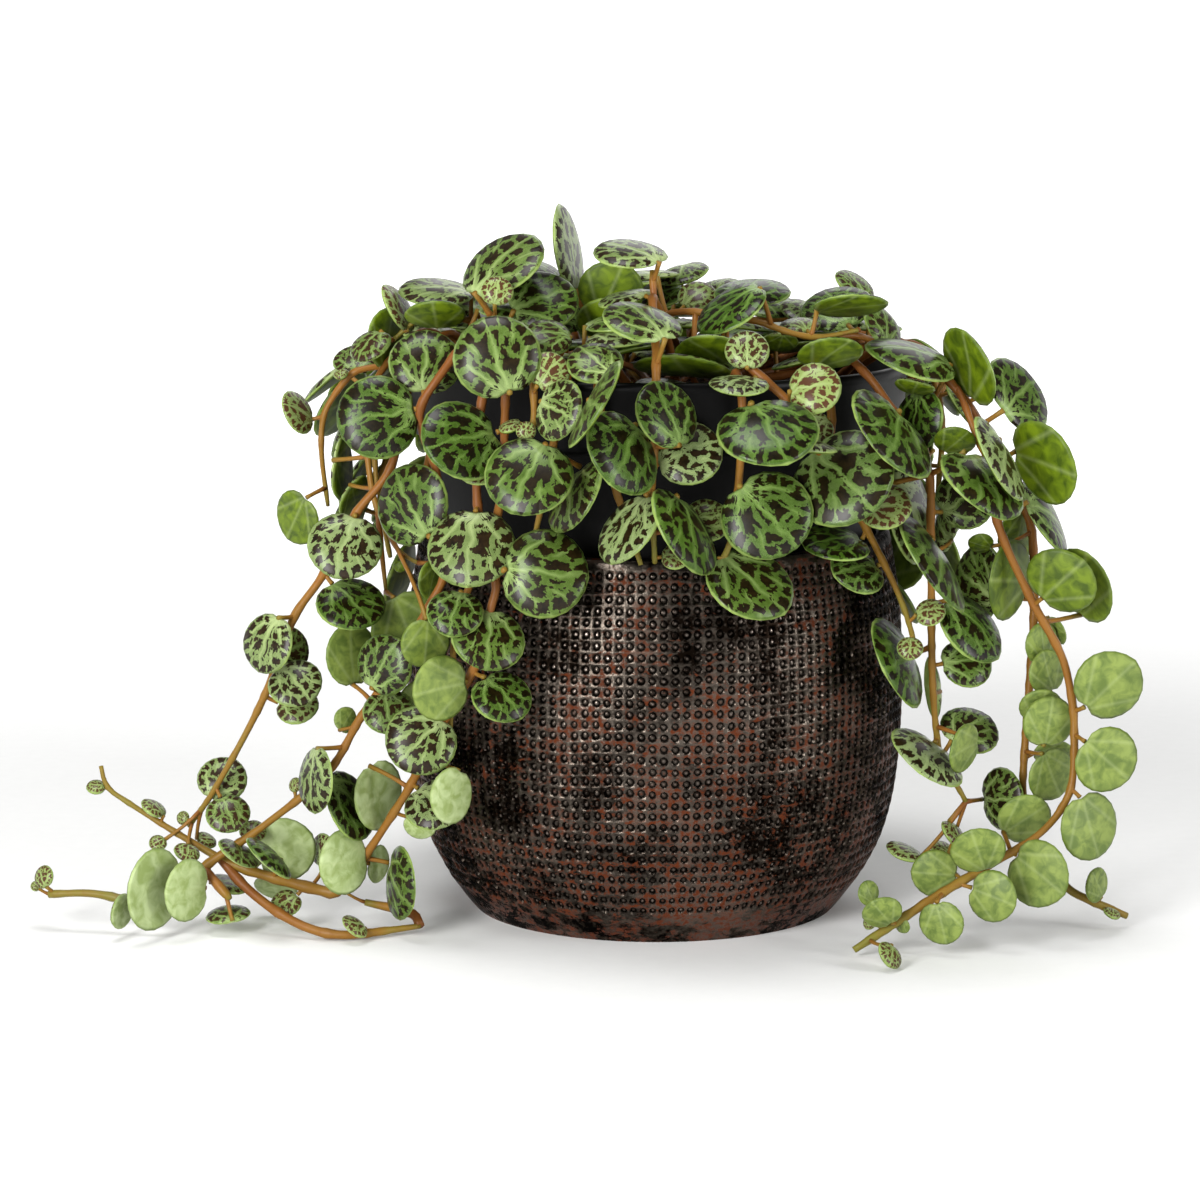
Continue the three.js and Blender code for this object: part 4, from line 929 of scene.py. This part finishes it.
# %% The upper side's colours
GREEN = linear("#475922")
LIGHT_GREEN = linear("#617538")
VEIN_GREEN = linear("#98A86C")
STALK_GREEN = linear("#AAB781")
SHEEN_SAGE = linear("#8C9A6C")
PATCH_BLACK = linear("#0E0903")
PATCH_BROWN = linear("#291D0C")
SHADED = (0.4, 0.55, 0.26)
YOUNG_GREEN = linear("#75854A")
YOUNG_VEIN = linear("#8E9C66")
YOUNG_PATCH = linear("#452C1A")
MARGIN_GREEN = linear("#8FA556")

pale_vein = add_node(tree, "MapRange", {"Value": vein, 1: 0.0, 2: 0.07, 3: 0.75, 4: 0.0})
faint = add_node(tree, "MapRange", {"Value": along, 1: 0.4, 2: 1.7, 3: 1.0, 4: 0.35})
veined = add_node(tree, "Math", {0: pale_vein, 1: faint}, operation="MULTIPLY")
tone = add_node(tree, "MapRange", {"Value": ragged.outputs["Fac"], 1: 0.3, 2: 0.7})
near_stalk = add_node(tree, "MapRange", {"Value": along, 1: 0.0, 2: 0.7, 3: 0.7, 4: 0.0})
own = add_node(tree, "TexWhiteNoise", {"W": seed.outputs["Z"]}, noise_dimensions="1D")
# Painted sheen: leaves with a low value of their own are laid toward pale sage.
painted_sheen = add_node(tree, "MapRange", {"Value": own.outputs["Value"], 1: 0.4, 2: 0.0, 3: 0.0, 4: 0.6})
brown = layered(tree, PATCH_BLACK, (tone, PATCH_BROWN))
mature = layered(
    tree, GREEN, (tone, LIGHT_GREEN), (veined, VEIN_GREEN), (near_stalk, STALK_GREEN), (painted_sheen, SHEEN_SAGE),
    (patch, brown),
)
# Painted shade: leaves with a high value of their own are multiplied darker and greener.
shaded = add_node(tree, "VectorMath", {0: mature, 1: SHADED}, operation="MULTIPLY")
painted_shade = add_node(tree, "MapRange", {"Value": own.outputs["Value"], 1: 0.25, 2: 0.85, 3: 0.0, 4: 1.0})
young = layered(tree, YOUNG_GREEN, (veined, YOUNG_VEIN), (patch, YOUNG_PATCH))
age = add_node(tree, "Attribute", attribute_name="leaf_age")
outward = add_node(tree, "VectorMath", {0: place.outputs["Vector"], 1: FLATTEN}, operation="MULTIPLY")
rim_reach = add_node(tree, "VectorMath", {0: outward}, operation="LENGTH")
margin = add_node(tree, "MapRange", {"Value": rim_reach, 1: 0.965, 2: 0.995, 3: 0.0, 4: 0.65})
blade = layered(tree, mature, (painted_shade, shaded), (age.outputs["Fac"], young), (margin, MARGIN_GREEN))
waxy = add_node(tree, "MapRange", {"Value": ragged.outputs["Fac"], 1: 0.3, 2: 0.7, 3: 0.28, 4: 0.38})
sunk = add_node(tree, "Bump", {"Height": pale_vein, "Strength": 0.3, "Distance": -0.0003})
feed(
    tree, shader, Base_Color=blade, Roughness=waxy, Normal=sunk,
    IOR=1.45, Specular_IOR_Level=0.08, Coat_Weight=0.28, Coat_Roughness=0.26,
)

# %% [markdown]
# The underside is matt and a pale grey green, with the veins a little lighter. Where the light comes
# through a leaf it turns olive, which an attribute picks leaf by leaf. Light could be let through the
# leaf itself, but the tint is cheaper and keeps its place when the piece is exported.

# %% The underside
UNDER_DARK = linear("#52642A")
UNDER_LIGHT = linear("#76863F")
OLIVE_DARK = linear("#344602")
OLIVE_LIGHT = linear("#5E720A")
PALE_LIT_DARK = linear("#7F9052")
PALE_LIT_LIGHT = linear("#A2B17E")
UNDER_VEIN = linear("#A3B078")
UNDER_MARGIN = linear("#56691F")
HALF_BETWEEN_RIBS = 0.31

underside, tree, shader = new_material("leaf_underside")
place = add_node(tree, "Attribute", attribute_name="leaf_place")
from_stalk = add_node(tree, "VectorMath", {0: place.outputs["Vector"], 1: (0.0, 0.95, 0.0)}, operation="ADD")
parts = add_node(tree, "SeparateXYZ", {"Vector": from_stalk})
fan = add_node(tree, "Math", {0: parts.outputs["X"], 1: parts.outputs["Y"]}, operation="ARCTAN2")
nearest = add_node(tree, "Math", {0: fan, 1: HALF_BETWEEN_RIBS}, operation="PINGPONG")
spread = add_node(tree, "VectorMath", {0: from_stalk, 1: FLATTEN}, operation="MULTIPLY")
along = add_node(tree, "VectorMath", {0: spread}, operation="LENGTH")
vein = add_node(tree, "Math", {0: nearest, 1: along}, operation="MULTIPLY")
ridge = add_node(tree, "MapRange", {"Value": vein, 1: 0.0, 2: 0.09, 3: 0.22, 4: 0.0})
mottle = add_node(
    tree, "TexNoise", {"Vector": place.outputs["Vector"], "Scale": 2.6, "Detail": 5.0, "Distortion": 0.6},
)
blotches = add_node(tree, "MapRange", {"Value": mottle.outputs["Fac"], 1: 0.36, 2: 0.64})
olive = add_node(tree, "Attribute", attribute_name="leaf_olive")
# Painted light: a paler grey green for the undersides of the lowest leaves on the left.
painted_pale = add_node(tree, "MapRange", {"Value": olive.outputs["Fac"], 1: 0.0, 2: -1.0, 3: 0.0, 4: 1.0})
flat = add_node(tree, "VectorMath", {0: place.outputs["Vector"], 1: FLATTEN}, operation="MULTIPLY")
reach = add_node(tree, "VectorMath", {0: flat}, operation="LENGTH")
margin = add_node(tree, "MapRange", {"Value": reach, 1: 0.93, 2: 1.0, 3: 0.0, 4: 0.6})
grey = layered(tree, UNDER_DARK, (blotches, UNDER_LIGHT))
pale_lit = layered(tree, PALE_LIT_DARK, (blotches, PALE_LIT_LIGHT))
glowing = layered(tree, OLIVE_DARK, (blotches, OLIVE_LIGHT))
under = layered(
    tree, grey, (painted_pale, pale_lit), (olive.outputs["Fac"], glowing), (ridge, UNDER_VEIN), (margin, UNDER_MARGIN),
)
raised = add_node(tree, "Bump", {"Height": ridge, "Strength": 0.3, "Distance": 0.0002})
feed(tree, shader, Base_Color=under, Roughness=0.5, Normal=raised, Specular_IOR_Level=0.3)
print("leaf materials", upper.name, underside.name)

# %% [markdown]
# ## Stems
# A stem is about two millimetres thick where it is old, thins towards its tip and swells at each joint
# where a leaf stalk leaves it. A curve with a round bevel could make it, but the swellings would need
# a radius at every point all the same. So each one is a circle extruded along its path, turned and
# scaled at every step.


# %% Extruding a stem
def extrude_round(bm, path, radii, sides, marks, layers):
    """A round tube through a path's points, with a radius and an age for each of them."""
    heading = (path[1] - path[0]).normalized()
    stand = Matrix.Translation(path[0]) @ heading.to_track_quat("Z", "Y").to_matrix().to_4x4()
    verts = bmesh.ops.create_circle(bm, cap_ends=True, segments=sides, radius=radii[0], matrix=stand)["verts"]
    ring = list(dict.fromkeys(edge for vert in verts for edge in vert.link_edges))
    for vert in verts:
        vert[layers["age"]] = marks[0]
    for i in range(1, len(path)):
        grown = bmesh.ops.extrude_edge_only(bm, edges=ring)["geom"]
        verts = [item for item in grown if isinstance(item, bmesh.types.BMVert)]
        fresh_verts = set(verts)
        ring = [
            item for item in grown
            if isinstance(item, bmesh.types.BMEdge) and set(item.verts) <= fresh_verts
        ]
        ahead = path[min(i + 1, len(path) - 1)] - path[i - 1]
        bend = heading.rotation_difference(ahead.normalized()).to_matrix().to_4x4()
        heading = ahead.normalized()
        step = (
            Matrix.Translation(path[i]) @ bend @ Matrix.Scale(radii[i] / radii[i - 1], 4)
            @ Matrix.Translation(-path[i - 1])
        )
        bmesh.ops.transform(bm, matrix=step, verts=verts)
        for vert in verts:
            vert[layers["age"]] = marks[i]
    bmesh.ops.edgeloop_fill(bm, edges=ring)


# %% [markdown]
# A stalk leaves its joint at a slant, curves a little and meets the leaf in the notch of its margin. It
# is greener than the stem and about a millimetre thick.

# %% Stems, stalks and leaves of a vine
STEM_SIDES = 8
STALK_SIDES = 6
STOUT_STEM = 0.8
THIN_STEM = 0.66
SHOOT_SHARE = 0.8
TIP_TAPER = 0.45
JOINT_SWELL = 0.22
JOINT_REACH = 1.1
JOINT_GAP = 11.0
LYING_SWELL = 0.5
LYING_BELOW = 10


def stem_radius(spot, share, run, feet, thick):
    """The stem's radius at a spot, thinner towards its tip and swollen at its joints."""
    to_joint = abs(run % JOINT_GAP - JOINT_GAP / 2)
    gap = min([(spot - foot).length for foot in feet] + [to_joint])
    swell = JOINT_SWELL * math.exp(-((gap / JOINT_REACH) ** 2))
    lying = max(0.0, LYING_SWELL - max(0.0, spot.z - LYING_BELOW) / 20)
    return thick * (1.0 + lying) * (1.0 - TIP_TAPER * share**4) * (1 + swell)


def stalk_path(leaf):
    """The stalk's points, from inside the stem to just inside the leaf's margin."""
    toward = leaf["middle"] - leaf["foot"]
    forward = (toward - leaf["up"] * toward.dot(leaf["up"])).normalized()
    end = leaf["middle"] - forward * leaf["radius"] * 0.88
    span = end - leaf["foot"]
    droop = leaf["up"] * -0.08 * span.length
    return [leaf["foot"] + span * t + droop * math.sin(math.pi * t) for t in (0, 0.25, 0.5, 0.75, 1)]


def thickness_of(name):
    """Thin vines are the outermost on the left and those of the crown."""
    return THIN_STEM if "thin" in name or "outer" in name or "crown" in name else STOUT_STEM


def build_vine(vine):
    """The vine's stem piece and its leaves piece."""
    stem = bmesh.new()
    layers = {"age": stem.verts.layers.float.new("stem_age")}
    feet = [leaf["foot"] for leaf in vine["leaves"]]
    thick = thickness_of(vine["name"])
    for n, curve in enumerate(vine["curves"]):
        shares = [i / (len(curve) - 1) for i in range(len(curve))]
        runs = np.cumsum([0.0] + [(b - a).length for a, b in zip(curve, curve[1:])])
        girth = thick * (1 if n == 0 else SHOOT_SHARE)
        steps = zip(curve, shares, runs)
        radii = [stem_radius(spot, share, run, feet, girth) for spot, share, run in steps]
        extrude_round(stem, curve, radii, STEM_SIDES, [1 - share for share in shares], layers)
    for leaf in vine["leaves"]:
        girth = 0.34 + 0.022 * leaf["radius"]
        radii = [girth * 1.25, girth, girth * 0.92, girth * 0.92, girth * 1.1]
        extrude_round(stem, stalk_path(leaf), radii, STALK_SIDES, [0.75, 0.5, 0.3, 0.2, 0.1], layers)
    finish_piece(stem, vine["name"] + "_stem", vine["name"], [stem_skin])
    if not vine["leaves"]:
        return
    leaves = bmesh.new()
    layers = {
        "place": leaves.verts.layers.float_vector.new("leaf_place"),
        "age": leaves.verts.layers.float.new("leaf_age"),
        "olive": leaves.verts.layers.float.new("leaf_olive"),
    }
    for leaf in vine["leaves"]:
        add_leaf(leaves, leaf, leaf["traits"], layers)
    finish_piece(leaves, vine["name"] + "_leaves", vine["name"], [upper, underside])


# %% [markdown]
# The skin of a stem is waxy and smooth, orange brown where it is old and olive near the tip, and a
# little mottled. The age of each point is an attribute of the stem, so a colour ramp can follow it
# along any bend, with noise of 10 mm to blur it and of 1 mm for the pores.

# %% Stem skin
TIP_OLIVE = linear("#6C6828")
STEM_GOLD = linear("#785A20")
STEM_ORANGE = linear("#7E5421")
ROOT_BROWN = linear("#6E421C")
PORE_BROWN = linear("#6A3A1C")

stem_skin, tree, shader = new_material("stem_skin")
where = add_node(tree, "TexCoord").outputs["Object"]
age = add_node(tree, "Attribute", attribute_name="stem_age")
blush = add_node(tree, "TexNoise", {"Vector": where, "Scale": 90.0, "Detail": 4.0})
pore = add_node(tree, "TexNoise", {"Vector": where, "Scale": 900.0, "Detail": 3.0})
ripe = add_node(
    tree, "Math", {0: blush.outputs["Fac"], 1: 0.5, 2: age.outputs["Fac"]}, operation="MULTIPLY_ADD",
)
tone = add_node(tree, "ValToRGB", {"Fac": ripe})
tone.color_ramp.elements[0].position = 0.2
tone.color_ramp.elements[0].color = TIP_OLIVE
tone.color_ramp.elements[1].position = 1.0
tone.color_ramp.elements[1].color = ROOT_BROWN
tone.color_ramp.elements.new(0.4).color = STEM_GOLD
tone.color_ramp.elements.new(0.75).color = STEM_ORANGE
flecks = add_node(tree, "MapRange", {"Value": pore.outputs["Fac"], 1: 0.55, 2: 0.75, 3: 0.0, 4: 0.35})
speckled = layered(tree, tone.outputs["Color"], (flecks, PORE_BROWN))
ribs = add_node(tree, "Bump", {"Height": pore.outputs["Fac"], "Strength": 0.3, "Distance": 0.0002})
feed(tree, shader, Base_Color=speckled, Roughness=0.42, Normal=ribs, Specular_IOR_Level=0.18)

# %% Growing every vine
for vine in vines:
    build_vine(vine)
bpy.data.meshes.remove(blank_mesh)

# %% [markdown]
# ## The studio
# The plant stands in a round white cove, whose floor curves up into its wall, so there is no horizon
# from any side. Far from the plant the paper glows by itself instead of passing light on, which keeps
# the background white and the render short. Two tall soft lights beside the camera give the upright
# streaks on the glaze, one over the plant gives the leaves their shine, and one behind rims them.

# %% Cove and lights
COVE_FLOOR = 2.4
COVE_CURVE = 0.9
COVE_TOP = 3.0
# The paper is painted darker near the plant than further out: painted shade that deepens its shadow.
PAPER_SHADED_NEAR = linear("#DEDEDD")
PAPER_TOOTH = linear("#E2E2E1")
PAPER_OUT = linear("#F3F3F2")
bend = [
    (COVE_FLOOR + COVE_CURVE * math.sin(math.pi * i / 32), COVE_CURVE * (1 - math.cos(math.pi * i / 32)))
    for i in range(17)
]
cove_bm = spun([(0, 0), (0.5, 0), (1.2, 0), *bend, (COVE_FLOOR + COVE_CURVE, COVE_TOP)], 96)
bmesh.ops.reverse_faces(cove_bm, faces=cove_bm.faces)
cove_mesh = bpy.data.meshes.new("studio_cove")
cove_bm.to_mesh(cove_mesh)
cove_bm.free()
cove_mesh.shade_smooth()
cove = bpy.data.objects.new("studio_cove", cove_mesh)
bpy.context.scene.collection.objects.link(cove)
paper, tree, shader = new_material("white_studio_paper")
where = add_node(tree, "TexCoord").outputs["Object"]
tooth = add_node(tree, "TexNoise", {"Vector": where, "Scale": 300.0, "Detail": 2.0})
spot = add_node(tree, "VectorMath", {0: where}, operation="LENGTH")
glow = add_node(tree, "MapRange", {"Value": spot, 1: 0.18, 2: 0.8, 3: 0.04, 4: 0.6})
height = add_node(tree, "SeparateXYZ", {"Vector": where})
upper_wall = add_node(tree, "MapRange", {"Value": height.outputs["Z"], 1: 0.5, 2: 1.2, 3: 1.0, 4: 0.15})
far = add_node(tree, "MapRange", {"Value": spot, 1: 0.8, 2: 1.5})
glow = add_node(
    tree, "Math", {0: far, 1: 0.8, 2: glow}, operation="MULTIPLY_ADD",
)
glow = add_node(tree, "Math", {0: glow, 1: upper_wall}, operation="MULTIPLY")
# Painted shade: the paper's colour lightens only away from the plant.
outward = add_node(tree, "MapRange", {"Value": spot, 1: 0.25, 2: 0.6})
sheet = layered(
    tree, PAPER_SHADED_NEAR, (tooth.outputs["Fac"], PAPER_TOOTH), (outward, PAPER_OUT), (far, linear("#000000")),
)
feed(
    tree, shader, Base_Color=sheet, Roughness=0.8, Specular_IOR_Level=0.0,
    Emission_Color=linear("#FFFFFF"), Emission_Strength=glow,
)
paper.cycles.emission_sampling = "NONE"
cove_mesh.materials.append(paper)

LIGHTS = [
    ("left_strip", (-0.44, -0.80, 0.34), (0.25, 0.66), 12.0),
    ("right_strip", (0.80, -0.49, 0.32), (0.22, 0.6), 5.0),
    ("overhead_box", (-0.15, -0.10, 1.05), (0.45, 0.45), 6.6),
    ("back_box", (0.25, 0.95, 0.70), (0.8, 0.6), 3.2),
]
for name, spot, extent, power in LIGHTS:
    lamp_data = bpy.data.lights.new(name, "AREA")
    lamp_data.shape = "RECTANGLE"
    lamp_data.size, lamp_data.size_y = extent
    lamp_data.energy = power
    lamp = bpy.data.objects.new(name, lamp_data)
    lamp.location = spot
    lamp.rotation_euler = (Vector((0, 0, 0.07)) - Vector(spot)).to_track_quat("-Z", "Y").to_euler()
    bpy.context.scene.collection.objects.link(lamp)

world = bpy.data.worlds.new("studio_world")
world.use_nodes = True
world.node_tree.nodes["Background"].inputs["Color"].default_value = linear("#FFFFFF")
world.node_tree.nodes["Background"].inputs["Strength"].default_value = 0.12
bpy.context.scene.world = world
bpy.context.scene.view_settings.view_transform = "Standard"
print(len(LIGHTS), "lights")
